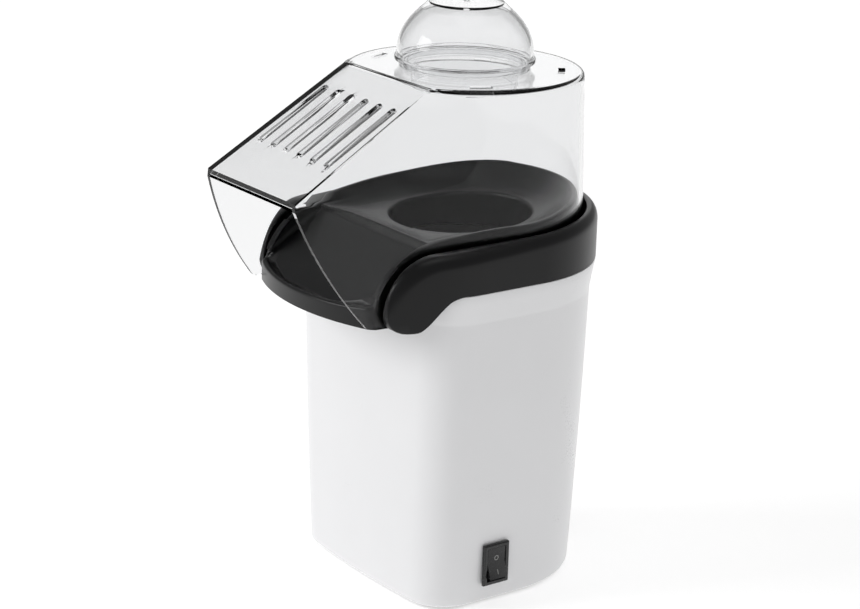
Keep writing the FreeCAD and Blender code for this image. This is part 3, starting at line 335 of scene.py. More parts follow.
def hood_ring(z, inset, steps):
    """Outline of the hood at a height as (x, y): round back, tangent sides, straight front; right half."""
    back_steps, side_steps, front_steps = steps
    radius = hood_radius(z, inset)
    half, y = front_corner(z, inset)
    away = max(radius, sqrt(half * half + y * y))
    start = atan2(y, half) + acos(min(1.0, radius / away))
    points = [(radius * cos(a), radius * sin(a)) for a in
              (pi / 2 + (start - pi / 2) * i / back_steps for i in range(back_steps + 1))]
    touch = points[-1]
    points += [(touch[0] + (half - touch[0]) * i / side_steps, touch[1] + (y - touch[1]) * i / side_steps)
               for i in range(1, side_steps + 1)]
    points += [(half * (1 - i / front_steps), y) for i in range(1, front_steps + 1)]
    return points


def both_sides(right):
    """A right half, from the back to the front, followed by its mirror image back again."""
    return right + [(-p[0],) + tuple(p[1:]) for p in reversed(right[1:-1])]


def mouth_height(y):
    """Height of the mouth's side edge; below the legs there is nothing."""
    if y > MOUTH[2][0]:
        return HOOD_LEG
    if y <= NOSE_Y + 0.01:
        return NOSE_Z - NOSE_BAND
    side = -1 if mouth_z > MOUTH[0][1] else 1
    return mouth_z + side * sqrt(mouth_r ** 2 - (y - mouth_y) ** 2)


def hood_foot(y):
    """Height of the hood's lower edge."""
    if y >= LEG_Y + LEG_TURN:
        return HOOD_SEAT
    if y > LEG_Y:
        return HOOD_SEAT - LEG_DROP * (LEG_Y + LEG_TURN - y) / LEG_TURN
    return max(HOOD_LEG, mouth_height(y))


HOOD_STEPS = (72, 64, 16)


def hood_wall_rows(inset, levels):
    """Rows of points up the hood's wall: level 0 is its lower edge, 1 the nose, 2 the top's rounding."""
    feet = [hood_foot(y) for _, y in hood_ring(HOOD_SEAT, inset, HOOD_STEPS)]
    shoulder = HOOD_TOP - max(HOOD_EDGE_R, inset + 0.5)
    rows = []
    for level in levels:
        row = []
        for column, foot in enumerate(feet):
            low, high = (foot, NOSE_Z) if level <= 1.0 else (NOSE_Z, shoulder)
            z = low + (high - low) * (level if level <= 1.0 else level - 1.0)
            row.append((*hood_ring(z, inset, HOOD_STEPS)[column], z))
        rows.append(both_sides(row))
    return rows


def hood_top_rows(inset, hole_r):
    """Rounding round the drum's top, then the flat top as far as its round hole."""
    top, round_r = HOOD_TOP - inset, max(HOOD_EDGE_R - inset, 0.5)
    rows = []
    for step in (1, 2, 3, 4, 5):
        turn = pi / 2 * step / 5
        z = top - round_r * (1 - sin(turn))
        row = []
        for x, y in hood_ring(z, inset, HOOD_STEPS):
            soft = min(1.0, max(0.0, (y - SOFT_FROM_Y) / SOFT_OVER))
            shrink = round_r * (1 - cos(turn)) * soft / HOOD_TOP_R
            row.append((x * (1 - shrink), y * (1 - shrink), z))
        rows.append(both_sides(row))
    edge = rows[-1]
    for share in (0.1, 0.4, 0.7, 1.0):
        row = []
        for x, y, z in edge:
            turn = atan2(y, x)
            row.append((x + (hole_r * cos(turn) - x) * share, y + (hole_r * sin(turn) - y) * share, z))
        rows.append(row)
    return rows


def round_rows(row, radius, z):
    """One more row at the same bearings, on a circle."""
    return [(radius * cos(atan2(y, x)), radius * sin(atan2(y, x)), z) for x, y, _ in row]


wall_levels = [i / 16 for i in range(16)] + [1.0 + i / 12 for i in range(13)]
outside = hood_wall_rows(0.0, wall_levels) + hood_top_rows(0.0, WELL_R)
inside = hood_wall_rows(HOOD_WALL, wall_levels) + hood_top_rows(HOOD_WALL, WELL_R + WELL_WALL)
NECK_LEVELS = (250.0, 247.0, 244.0, WELL_LOW)
neck = [round_rows(outside[-1], WELL_R, z) for z in NECK_LEVELS]
neck += [round_rows(outside[-1], WELL_R + WELL_WALL, z) for z in NECK_LEVELS[:0:-1]]
hood_mesh = joined("hood", [grid_mesh("hood", outside + neck + inside[::-1], True, True)])


def new_tree(name, sockets):
    """Geometry tree with named inputs (label, kind, value); returns it and its input node as a Wire."""
    tree = bpy.data.node_groups.new(name, "GeometryNodeTree")
    tree.interface.new_socket("Geometry", in_out="OUTPUT", socket_type="NodeSocketGeometry")
    for label, kind, value in sockets:
        made = tree.interface.new_socket(label, in_out="INPUT", socket_type="NodeSocket" + kind)
        if value is not None:
            made.default_value = value
    source = tree.nodes.new("NodeGroupInput")
    return tree, {socket.name: Wire(tree, socket) for socket in source.outputs if socket.name}


def close_tree(tree, wire, material):
    """Ends a tree in Realize Instances and Set Material."""
    solid = wire.node("GeometryNodeRealizeInstances", Geometry=wire)
    painted = solid.node("GeometryNodeSetMaterial", Geometry=solid, Material=material)
    end = tree.nodes.new("NodeGroupOutput")
    tree.links.new(painted.socket, end.inputs[0])


def grown(name, tree, **inputs):
    """Plain mesh that a geometry tree makes with these inputs."""
    made = loose(name, bpy.data.meshes.new(name))
    modifier = made.modifiers.new("grow", "NODES")
    modifier.node_group = tree
    for item in tree.interface.items_tree:
        if item.in_out == "INPUT" and item.name.replace(" ", "_") in inputs:
            modifier[item.identifier] = inputs[item.name.replace(" ", "_")]
    return baked(made)


clear_plastic, shader, spot = finish("clear_polystyrene", IOR=1.26, Transmission_Weight=1.0,
                                     Base_Color=(0.885, 0.888, 0.892, 1.0))
ripple, specks = noise(spot, 38.0, 2.0), noise(spot, 900.0, 2.0)
feed(shader, "Roughness", ripple * 0.006 + specks * 0.004)
feed(shader, "Normal", relief(spot, ripple, 0.0004, 0.10))

SLOT_COUNT, SLOT_PITCH, SLOT_WIDTH, SLOT_DEPTH = 6, 11.3, 3.6, 16.0
SLOT_TOP_Y, SLOT_LOW_Y = -60.0, -98.0
tree, given = new_tree("slot_row", (("Count", "Int", SLOT_COUNT), ("Pitch", "Float", SLOT_PITCH * MM),
                                    ("Width", "Float", SLOT_WIDTH * MM), ("Length", "Float", 0.04),
                                    ("Depth", "Float", SLOT_DEPTH * MM)))
count, pitch, width = given["Count"], given["Pitch"], given["Width"]
first = pitch.vector(X=(count - 1.0) * pitch * -0.5)
line = count.node("GeometryNodeMeshLine", Count=count, Start_Location=first, Offset=pitch.vector(X=pitch))
outline = width.node("GeometryNodeCurvePrimitiveQuadrilateral", Width=width, Height=given["Length"])
outline = outline.node("GeometryNodeFilletCurve", {"mode": "POLY"}, Curve=outline, Count=7,
                       Radius=width * 0.4999)
face = outline.node("GeometryNodeFillCurve", Curve=outline)
solid = face.node("GeometryNodeExtrudeMesh", Mesh=face, Offset_Scale=given["Depth"])
lid = face.node("GeometryNodeFlipFaces", Mesh=face)
bar = solid.node("GeometryNodeJoinGeometry", Geometry=solid)
bar.tree.links.new(lid.socket, bar.socket.node.inputs[0])
bar = bar.node("GeometryNodeMergeByDistance", Geometry=bar, Distance=0.00001)
row_of_bars = line.node("GeometryNodeInstanceOnPoints", Points=line, Instance=bar)
close_tree(tree, row_of_bars, clear_plastic)
slot_length = (SLOT_TOP_Y - SLOT_LOW_Y) / cos(PANEL_LEAN)
slots = grown("slots", tree, Length=slot_length * MM)
slot_y = (SLOT_TOP_Y + SLOT_LOW_Y) / 2
slot_place = place((0.0, slot_y, HOOD_TOP - (PANEL_TOP_Y - slot_y) * PANEL_FALL))
slots.transform(Matrix.Translation((0, 0, -0.5 * SLOT_DEPTH * MM)))
slots.transform(Matrix.Rotation(PANEL_LEAN, 4, "X"))
slots.transform(Matrix.Translation(slot_place))

VENT_R, VENT_WIDTH, VENT_SPAN, VENT_BEARINGS = 46.5, 3.4, 13.0, (-27.0, 50.0, 130.0, 207.0)


def capped(mesh, close=True):
    """The mesh with its faces outwards and, if it is to be closed, its open ends filled."""
    work = bmesh.new()
    work.from_mesh(mesh)
    if close:
        bmesh.ops.holes_fill(work, edges=[e for e in work.edges if len(e.link_faces) == 1])
    bmesh.ops.recalc_face_normals(work, faces=work.faces)
    work.to_mesh(mesh)
    work.free()
    return mesh


def vent_block(bearing):
    """Curved block, wider than it is deep, that cuts one vent through the top."""
    half, steps, rows = VENT_WIDTH / 2, 8, []
    for i in range(steps + 1):
        turn = radians(bearing + VENT_SPAN * (i / steps - 0.5))
        rows.append([((VENT_R + dr) * cos(turn), (VENT_R + dr) * sin(turn), HOOD_TOP + dz)
                      for dr, dz in ((-half, -6), (half, -6), (half, 4), (-half, 4))])
    return capped(grid_mesh("vent", rows, False, True))


def cut_away(name, mesh, cutters):
    """The mesh less its cutters."""
    body = loose(name, mesh)
    tool = loose(name + "_tool", joined(name + "_tool", cutters))
    modifier = body.modifiers.new("cut", "BOOLEAN")
    modifier.operation, modifier.solver, modifier.object = "DIFFERENCE", "EXACT", tool
    result = baked(body)
    bpy.data.objects.remove(tool)
    return result


hood_mesh = cut_away("hood", hood_mesh, [slots] + [vent_block(bearing) for bearing in VENT_BEARINGS])


def turned_mesh(name, profile, steps=96):
    """Closed surface of revolution from (radius, height) points; a closed profile, off the axis or on it."""
    rows = [[(r * cos(2 * pi * i / steps), r * sin(2 * pi * i / steps), z) for i in range(steps)]
             for r, z in profile]
    return joined(name, [grid_mesh(name, rows, True, True)])


def softened(points, radius, steps=4, closed=True):
    """Outline with its corners rounded: points are (a, b) or (a, b, radius)."""
    count, out = len(points), []
    for i, item in enumerate(points):
        here = Vector(item[:2])
        if not closed and i in (0, count - 1):
            out.append(tuple(here))
            continue
        before, after = Vector(points[i - 1][:2]) - here, Vector(points[(i + 1) % count][:2]) - here
        corner = item[2] if len(item) > 2 else radius
        angle = before.angle(after) if before.length and after.length else pi
        if corner <= 0 or angle > pi - 0.01:
            out.append(tuple(here))
            continue
        reach = min(corner / tan(angle / 2), before.length * 0.49, after.length * 0.49)
        corner = reach * tan(angle / 2)
        centre = here + (before.normalized() + after.normalized()).normalized() * (corner / sin(angle / 2))
        start, end = here + before.normalized() * reach - centre, here + after.normalized() * reach - centre
        for k in range(steps + 1):
            spread = start.lerp(end, k / steps)
            arc_point = centre + spread.normalized() * corner
            out.append(tuple(arc_point))
    return out


ring_profile = softened([(RING_R - RING_WALL, HOOD_TOP + 0.02), (RING_R, HOOD_TOP + 0.02),
                         (RING_R, HOOD_TOP + RING_HEIGHT), (RING_R - RING_WALL, HOOD_TOP + RING_HEIGHT)], 0.5)
hood_mesh = joined("hood", [hood_mesh, turned_mesh("centring_ring", ring_profile)], 0.000001)
piece("hood_shell", hood_mesh, "cover", clear_plastic, ["clear_hood"], sharp=32.0)

# ---- Measuring cup --------------------------------------------------------------------------------
# The cup is the same clear plastic, 1.6 mm thick. It stands upside down on the hood, over the ring,
# with a moulded band just above its edge and a flat end with a small gate mark in its middle.
CUP_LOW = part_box("measuring_cup")[0].z / MM
CUP_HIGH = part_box("measuring_cup")[1].z / MM
CUP_FOOT_R, CUP_BAND_R, CUP_TOP_R, CUP_WALL = 31.6, 33.8, 19.0, 1.6
DOME = ((33.0, 257.05), (32.8, 262.4), (31.6, 267.2), (29.1, 272.0), (25.6, 276.3), (21.5, 280.3))


def smooth_run(points, steps):
    """Catmull-Rom curve through points of a plane."""
    run = [points[0]] + list(points) + [points[-1]]
    out = []
    for a, b, c, d in zip(run, run[1:], run[2:], run[3:]):
        for i in range(steps):
            t = i / steps
            out.append(tuple(0.5 * (2 * q + (r - p) * t + (2 * p - 5 * q + 4 * r - s) * t * t
                                    + (3 * q - p - 3 * r + s) * t ** 3)
                             for p, q, r, s in zip(a, b, c, d)))
    return out + [tuple(points[-1])]


dome = smooth_run(DOME, 5)
inner_dome = smooth_run([(r - CUP_WALL, z - CUP_WALL * 0.6) for r, z in DOME], 5)
cup_outside = [(CUP_FOOT_R - CUP_WALL, CUP_LOW), (CUP_FOOT_R, CUP_LOW, 0.4), (CUP_FOOT_R, CUP_LOW + 3.0, 0.3),
               (CUP_BAND_R, CUP_LOW + 3.0, 0.7), (CUP_BAND_R, CUP_LOW + 5.0, 0.7)]
cup_end = [(CUP_TOP_R, CUP_HIGH - 0.9, 1.2), (CUP_TOP_R - 1.0, CUP_HIGH, 0.8)]
cup_profile = softened(cup_outside + [(r, z, 0) for r, z in dome[:-1]] + cup_end, 0.6, closed=False)
GATE_R, GATE_DEPTH, AXIS_GAP = 1.6, 0.5, 0.01
cup_ceiling = CUP_HIGH - CUP_WALL - 0.3
cup_profile += [(GATE_R, CUP_HIGH), (GATE_R - 0.1, CUP_HIGH - GATE_DEPTH), (AXIS_GAP, CUP_HIGH - GATE_DEPTH),
                (AXIS_GAP, cup_ceiling), (CUP_TOP_R - 2.2, cup_ceiling)]
cup_profile += list(reversed(inner_dome)) + [(CUP_FOOT_R - CUP_WALL, CUP_LOW + 3.4)]
piece("cup_shell", turned_mesh("cup", cup_profile, 128), "cup", clear_plastic,
      ["measuring_cup"], sharp=32.0)

# ---- Chute bowl -----------------------------------------------------------------------------------
# One black ABS moulding that hangs in the hood: a funnel round the hole, whose rim rises at the back,
# and a chute in front of its ridge, with a cheek on each side and a bowed lip along its front edge.
# A short skirt backs the rim, and a neck under the hole dips into the popping chamber.
BOWL_INSET, BOWL_ROOM, BOWL_WALL = 2.4, 12.0, 1.8
SKIRT_Z, NECK_LOW, HOLE_R, HOLE_Z, TILT = 172.0, 164.2, 34.7, 180.6, 0.05
RIDGE_Y, RIDGE_Z = -51.5, 182.6
CHUTE_HALF, CHUTE_FILLET, GUTTER_Y, RIM_TURN = 45.0, 2.4, -74.0, 1.3
LIP_R, LIP_CENTRE_Y, LIP_WALL, LIP_LOW, LIP_TOP, LIP_RISE = 117.0, 23.0, 2.6, 146.6, 155.2, 2.0
LIP_END_Y, LIP_DROP, RIM_REACH = -83.0, 1.2, 57.0
HOLE_EDGE = ((35.5, 0.25), (35.0, 0.8), (34.75, 1.6), (HOLE_R, 2.6))
RIM_HEIGHTS = ((60.0, 193.4), (48.0, 193.2), (37.0, 192.0), (25.0, 190.3), (12.0, 188.6), (0.0, 187.6),
               (-20.0, 187.0), (-38.0, 185.5), (-46.0, 184.2), (RIDGE_Y, 183.0))
CHEEK_TOP = ((RIDGE_Y, 183.0), (-58.0, 181.6), (-66.5, 177.2), (-74.0, 171.0), (-79.3, 163.8), (-82.0, 157.2))
CHEEK_FOOT = ((RIDGE_Y, SKIRT_Z), (-59.5, 167.0), (-70.0, 146.6), (-90.0, 146.6))
FLOOR_LINE = ((RIDGE_Y, RIDGE_Z), (-51.9, 182.45), (-52.15, 181.9), (-52.4, 180.2), (-52.65, 178.6),
              (-53.2, 177.9), (-54.5, 177.3), (-60.0, 173.8), (-70.0, 167.15), (-78.5, 161.5), (-81.0, 159.6),
              (-86.8, 154.6), (-89.0, 154.0), (-96.0, 154.0))
STEP_STATIONS = (0.0, 0.2, 0.4, 0.55, 0.7, 0.85, 1.0, 1.15, 1.4, 1.8, 2.4, 3.2, 4.6, 6.4)


def reading(curve, y):
    """Height of a falling run of (y, z) points at y; the points go forwards."""
    for (y0, z0), (y1, z1) in zip(curve, curve[1:]):
        if y >= y1:
            return z0 + (z1 - z0) * min(1.0, max(0.0, (y0 - y) / (y0 - y1)))
    return curve[-1][1]


def eased(share):
    """Share of the way, with a soft start and end."""
    share = min(1.0, max(0.0, share))
    return share * share * (3 - 2 * share)


def between(a, b, share):
    return tuple(p + (q - p) * share for p, q in zip(a, b))


def bowl_half(y, z):
    """Half width of the bowl's outer side at a place and height."""
    radius = hood_radius(z, BOWL_INSET)
    half, front = front_corner(z, BOWL_INSET, BOWL_ROOM)
    start = atan2(front, half) + acos(radius / sqrt(half * half + front * front))
    touch = (radius * cos(start), radius * sin(start))
    if y > touch[1]:
        return sqrt(radius ** 2 - y * y)
    return touch[0] + (half - touch[0]) * (y - touch[1]) / (front - touch[1])


rim_line, floor_line = smooth_run(RIM_HEIGHTS, 6), smooth_run(FLOOR_LINE, 5)
cheek_line = smooth_run(CHEEK_TOP, 8)
cheek_tail = [p for p in cheek_line if p[0] < RIDGE_Y - STEP_STATIONS[-1] - 0.8]
cheek_stations = [(RIDGE_Y - s, reading(cheek_line, RIDGE_Y - s)) for s in STEP_STATIONS] + cheek_tail
ACROSS = 40
WALL_SHARES = (0.0, 0.3, 0.6, 0.85, 1.0)
QUARTER = [pi / 2 * share for share in (0.25, 0.5, 0.75, 1.0)]


def chute_floor(x, y):
    """Height of the chute's floor: it falls to the gutter, and rises a little towards the lip's ends."""
    lip_y = LIP_CENTRE_Y - sqrt((LIP_R - LIP_WALL) ** 2 - min(abs(x), CHUTE_HALF) ** 2)
    near_lip = lip_height(x) - LIP_DROP + LIP_DROP * (y - lip_y)
    return min(reading(floor_line, y), near_lip) if y < GUTTER_Y else reading(floor_line, y)


def lip_height(x):
    """Height of the lip's top, which rises a little towards its ends."""
    return LIP_TOP + LIP_RISE * (min(abs(x), CHUTE_HALF) / CHUTE_HALF) ** 4


def walled(outside, inside, foot, top, floor, outer_turn=RIM_TURN, inner_turn=1.0, fillet=CHUTE_FILLET):
    """Section of a wall from its outer foot, over its rounded top, to the floor inside it, where
    outside gives the outer point at a height and inside a point some way in from the inner face."""
    low = top - outer_turn
    out = [(*outside(foot + (low - foot) * s), foot + (low - foot) * s) for s in WALL_SHARES]
    edge = outside(top)
    reach = sqrt(sum((p - q) ** 2 for p, q in zip(edge, inside(0.0)))) or 1.0

    def inward(distance, z):
        return (*between(edge, inside(0.0), distance / reach), z)

    for turn in QUARTER:
        out.append(inward(outer_turn * (1 - cos(turn)), low + outer_turn * sin(turn)))
    drop = max(0.0, top - floor)
    inner_turn, fillet = min(inner_turn, drop * 0.45), min(fillet, drop * 0.5)
    out.append(inward(reach - inner_turn, top))
    for turn in QUARTER:
        out.append(inward(reach - inner_turn * (1 - sin(turn)), top - inner_turn * (1 - cos(turn))))
    out.append((*inside(0.0), floor + fillet))
    for turn in QUARTER:
        out.append((*inside(CHUTE_FILLET * (1 - cos(turn))), floor + fillet * (1 - sin(turn))))
    return out


def cheek_section(y, top):
    return walled(lambda z: (bowl_half(y, z), y), lambda d: (CHUTE_HALF - d, y), reading(CHEEK_FOOT, y), top,
                  chute_floor(CHUTE_HALF - CHUTE_FILLET, y))


def lip_section(share):
    """Section through the lip; share runs from 0 at its right end to 1 at its left end."""
    side = bowl_half(LIP_END_Y, LIP_LOW)
    outer_turn, inner_turn = asin(side / LIP_R), asin(CHUTE_HALF / (LIP_R - LIP_WALL))
    outer_a, inner_a = outer_turn * (1 - 2 * share), inner_turn * (1 - 2 * share)
    outer = (LIP_R * sin(outer_a), LIP_CENTRE_Y - LIP_R * cos(outer_a))

    def inside(d):
        reach = LIP_R - LIP_WALL - d
        keep = min(1.0, max(0.0, 1 - abs(1 - 2 * share)) * 6)
        x = reach * sin(inner_a) if keep >= 1 else (CHUTE_HALF - d) * sin(inner_a) / sin(inner_turn)
        return (x, LIP_CENTRE_Y - (LIP_R - LIP_WALL - d * keep) * cos(inner_a))

    x = inside(0.0)[0]
    floor_x, floor_y = inside(CHUTE_FILLET)
    floor = min(lip_height(x) - 0.4, chute_floor(floor_x, floor_y))
    return walled(lambda z: outer, inside, LIP_LOW, lip_height(x), floor)


def mirror(section):
    """The same section on the other side of the object."""
    return [(-x, y, z) for x, y, z in section]


cheek = [cheek_section(y, top) for y, top in cheek_stations]
lip = [lip_section(share / ACROSS) for share in range(ACROSS + 1)]
lip[0], lip[-1] = cheek[-1], mirror(cheek[-1])
trough_wall = cheek + lip[1:-1] + [mirror(section) for section in reversed(cheek)]
BOW_START, BOW_LENGTH = 8.0, 22.0
floor_rows = []
for section in cheek:
    forward = eased((RIDGE_Y - BOW_START - section[-1][1]) / BOW_LENGTH)
    row = []
    for j in range(ACROSS + 1):
        front = lip[j][-1]
        x = section[-1][0] * front[0] / lip[0][-1][0]
        y = section[-1][1] + (front[1] - cheek[-1][-1][1]) * forward
        row.append((x, y, chute_floor(x, y)))
    row[0], row[-1] = section[-1], (-section[-1][0], *section[-1][1:])
    floor_rows.append(row)
floor_rows[-1] = [section[-1] for section in lip]

FUNNEL_ROWS, RIM_FLAT, FUNNEL_START = 16, 1.4, 0.28
BACK_TURN, BACK_COLUMNS, SIDE_START_Y, SIDE_COLUMNS, BLEND_Y = 96.0, 64, -7.0, 26, -34.0


def funnel_height(share, edge_z, hole_z):
    """Height on the way from the rim, 0, to the hole, 1: steep at first, then nearly level."""
    rest = 1 - share
    return hole_z + (edge_z - hole_z) * (0.72 * rest ** 2.1 + 0.28 * rest)


def hole_point(x, y, radius=HOLE_R + 1.3):
    """Point on a circle round the hole, at the bearing of another point."""
    bearing = atan2(y, x)
    return (radius * cos(bearing), radius * sin(bearing))


def basin_section(column):
    """Section of the funnel's rim from the skirt, as many points long as a cheek's section."""
    kind, value = column
    y = value if kind == "side" else RIM_REACH * sin(value)
    top = reading(rim_line, y)

    def outside(z):
        if kind == "side":
            return (bowl_half(value, z), value)
        radius = hood_radius(z, BOWL_INSET)
        return (radius * cos(value), radius * sin(value))

    edge = outside(top)
    hole = hole_point(*edge)
    reach = sqrt(sum((p - q) ** 2 for p, q in zip(edge, hole)))
    wall_z = [SKIRT_Z + (top - RIM_TURN - SKIRT_Z) * s for s in WALL_SHARES]
    out = [(*outside(z), z) for z in wall_z]
    for turn in QUARTER:
        share = RIM_TURN * (1 - cos(turn)) / reach
        out.append((*between(edge, hole, share), top - RIM_TURN * (1 - sin(turn))))
    start = RIM_TURN + RIM_FLAT
    out.append((*between(edge, hole, start / reach), top))
    inner_z = HOLE_Z + TILT * hole[1]
    count = 2 * len(QUARTER) + 1
    for k in range(1, count + 1):
        share = FUNNEL_START * k / count
        z = funnel_height(share, top, inner_z)
        out.append((*between(edge, hole, (start + (reach - start) * share) / reach), z))
    weight = eased((BLEND_Y - y) / (BLEND_Y - RIDGE_Y)) if kind == "side" else 0.0
    if weight > 0.0:
        other = walled(lambda z: (bowl_half(y, z), y), lambda d: (CHUTE_HALF - d, y), SKIRT_Z, top, RIDGE_Z)
        out = [between(a, b, weight) for a, b in zip(out, other)]
    return out, weight


basin_columns = [("back", pi / 2 - radians(BACK_TURN) * i / BACK_COLUMNS) for i in range(BACK_COLUMNS + 1)]
basin_columns += [("side", SIDE_START_Y + (RIDGE_Y - SIDE_START_Y) * i / SIDE_COLUMNS)
                  for i in range(1, SIDE_COLUMNS + 1)]
basin = [basin_section(column) for column in basin_columns]
basin[-1] = (cheek[0], 1.0)
basin += [([point] * len(cheek[0]), 1.0) for point in floor_rows[0][1:-1]]
right_side = basin[1:len(basin_columns)]
basin += [(mirror(section), weight) for section, weight in reversed(right_side)]
funnel = []
for section, weight in basin:
    x, y, z = section[-1]
    hole = hole_point(x, y)
    hole_z = HOLE_Z + TILT * hole[1]
    top = section[len(WALL_SHARES) + len(QUARTER)][2]
    column = list(section)
    for k in range(1, FUNNEL_ROWS + 1):
        share = k / FUNNEL_ROWS
        far = funnel_height(FUNNEL_START + (1 - FUNNEL_START) * share, top, hole_z)
        column.append((*between((x, y), hole, share), far + (funnel_height(share, z, hole_z) - far) * weight))
    for radius, drop in HOLE_EDGE:
        column.append((*hole_point(x, y, radius), hole_z - drop))
    column += [(*hole_point(x, y, HOLE_R), low) for low in (SKIRT_Z, NECK_LOW)]
    funnel.append(column)
ridge_columns = range(len(basin_columns) - 1, len(basin_columns) - 1 + ACROSS)
bowl_parts = [grid_mesh("bowl", funnel, True, False,
                        lambda i, j: i not in ridge_columns or j >= len(cheek[0]) - 1),
              grid_mesh("bowl", trough_wall, False, False), grid_mesh("bowl", floor_rows, False, False)]
bowl_skin = joined("bowl", bowl_parts)


def thickened(name, skin, thickness, up):
    """Closed shell from a skin whose outer side is seen from above at the point nearest to `up`."""
    nearest = min(skin.polygons, key=lambda face: (face.center - Vector(place(up))).length)
    if nearest.normal.z < 0:
        skin.flip_normals()
    made = loose(name, skin)
    modifier = made.modifiers.new("wall", "SOLIDIFY")
    modifier.thickness, modifier.offset, modifier.use_even_offset = thickness * MM, -1.0, False
    return baked(made)


MID_FLOOR = (0.0, -65.0, 170.0)
bowl_mesh = thickened("bowl", bowl_skin, BOWL_WALL, MID_FLOOR)
black_abs, shader, spot = finish("black_abs", IOR=1.34)
clouds, grain = noise(spot, 22.0, 3.0), noise(spot, 2600.0, 2.0)
feed(shader, "Base Color", mixed(clouds, (0.0030, 0.0030, 0.0033), (0.0055, 0.0055, 0.0060)))
feed(shader, "Roughness", clouds * 0.08 + grain * 0.06 + 0.24)
feed(shader, "Normal", relief(spot, clouds * 12.0, 0.00001, 0.18))
piece("chute_bowl_shell", bowl_mesh, "cover", black_abs, ["chute_bowl"], sharp=50.0)

# ---- Collar ---------------------------------------------------------------------------------------
# The same black ABS, snapped onto the tower's flared top. A rounded band goes round the back and the
# sides, falls forwards into two horns beside the chute, and carries a deck with the chamber's hole.
COLLAR_TOP, COLLAR_LOW, COLLAR_ROUND, COLLAR_EDGE = 183.5, 161.0, 6.2, 0.9
COLLAR_HALF, HORN_START_Y, HORN_TIP = 67.0, -36.0, (55.5, -80.5)
BEND_Y, BEND_MID, TIP_Z, TIP_R = -55.0, (-74.7, 170.7), 153.95, 7.95
HORN_OUTLINE = ((HORN_START_Y, COLLAR_HALF), (-48.0, 66.3), (-60.0, 64.1), (-71.0, 60.4),
                (HORN_TIP[1], HORN_TIP[0]))
ARCH = ((-43.0, 161.0), (-47.0, 160.8), (-52.0, 159.2), (-57.0, 155.0), (-62.0, 149.8), (-66.0, 146.6),
        (-69.0, 146.0))
WELL_OUTLINE_R, WELL_FRONT = 61.3, (46.8, -119.5)
DECK_Z, DECK_FRONT, DECK_HOLE_R = 163.0, -60.6, 39.5

bend_y, bend_z, bend_r = circle_through((BEND_Y, COLLAR_TOP + TILT * BEND_Y), BEND_MID, (HORN_TIP[1], TIP_Z))
side_run, arch_run = smooth_run(HORN_OUTLINE, 8), smooth_run(ARCH, 6)


def collar_top(y):
    """Height of the band's top, which bends down along the horn."""
    if y >= BEND_Y:
        return COLLAR_TOP + TILT * y
    return bend_z + sqrt(max(0.0, bend_r ** 2 - (y - bend_y) ** 2))


def collar_foot(y):
    """Height of the band's lower edge: level round the tower, then down the arch to the rounded tip."""
    if y >= ARCH[0][0]:
        return COLLAR_LOW
    if y > ARCH[-1][0]:
        return reading(arch_run, y)
    past = HORN_TIP[1] + TIP_R - y
    return TIP_Z - sqrt(max(0.0, TIP_R ** 2 - past ** 2)) if past > 0.0 else ARCH[-1][1]


def well_point(bearing=None, y=None):
    """Point of the collar's inner outline, by bearing round the back or by place along the side."""
    half, front = WELL_FRONT
    start = atan2(front, half) + acos(WELL_OUTLINE_R / sqrt(half * half + front * front))
    touch = (WELL_OUTLINE_R * cos(start), WELL_OUTLINE_R * sin(start))
    if bearing is not None:
        return (WELL_OUTLINE_R * cos(bearing), WELL_OUTLINE_R * sin(bearing))
    if y > touch[1]:
        return (sqrt(WELL_OUTLINE_R ** 2 - y * y), y)
    return (touch[0] + (half - touch[0]) * (y - touch[1]) / (front - touch[1]), y)


def collar_section(outer, inner):
    """Closed section from the outer foot over the rounded top and down the inner face."""
    y = (outer[1] + inner[1]) / 2
    top, foot = collar_top(y), collar_foot(y)
    slope = (collar_top(y + 0.2) - collar_top(y - 0.2)) / 0.4 if y > HORN_TIP[1] + 0.4 else 4.0
    height = top - foot
    tall = min(COLLAR_ROUND * sqrt(1 + slope ** 2), height * 0.62)
    edge = min(COLLAR_EDGE * sqrt(1 + slope ** 2), height * 0.2)
    width = sqrt(sum((p - q) ** 2 for p, q in zip(outer, inner)))
    wide = min(COLLAR_ROUND, width - COLLAR_EDGE - 0.5)
    low = foot + min(0.5, height * 0.1)
    out = [(*between(outer, inner, 0.5 / width), foot), (*outer, low)]
    out += [(*outer, low + (top - tall - low) * s) for s in (0.3, 0.6, 0.85)]
    for turn in (pi / 2 * i / 10 for i in range(11)):
        out.append((*between(outer, inner, wide * (1 - cos(turn)) / width), top - tall * (1 - sin(turn))))
    for turn in (pi / 2 * i / 4 for i in range(5)):
        share = 1 - COLLAR_EDGE * (1 - sin(turn)) / width
        out.append((*between(outer, inner, share), top - edge * (1 - cos(turn))))
    out += [(*inner, top - edge + (foot - top + edge) * s) for s in (0.3, 0.6)] + [(*inner, foot)]
    return out


COLLAR_STEPS, TIP_SHARES = 72, (0.85, 0.7, 0.56, 0.43, 0.31, 0.2, 0.11, 0.05)
collar_sections = []
for i in range(COLLAR_STEPS + 1):
    turn = pi / 2 - pi / 2 * i / COLLAR_STEPS
    outer_point = (COLLAR_HALF * cos(turn), COLLAR_HALF * sin(turn))
    collar_sections.append(collar_section(outer_point, well_point(bearing=turn)))
side_places = [-4.0 * i for i in range(1, 10)] + [HORN_START_Y - 1.5 * i for i in range(1, 25)]
side_places += [HORN_TIP[1] + TIP_R * (1 - cos(pi / 2 * s)) for s in TIP_SHARES]
for y in side_places:
    half = COLLAR_HALF if y >= HORN_START_Y else reading(side_run, y)
    collar_sections.append(collar_section((half, y), well_point(y=y)))
whole_collar = [mirror(section) for section in reversed(collar_sections[1:])] + collar_sections
collar_band = capped(joined("collar", [grid_mesh("collar", whole_collar, False, True)]))


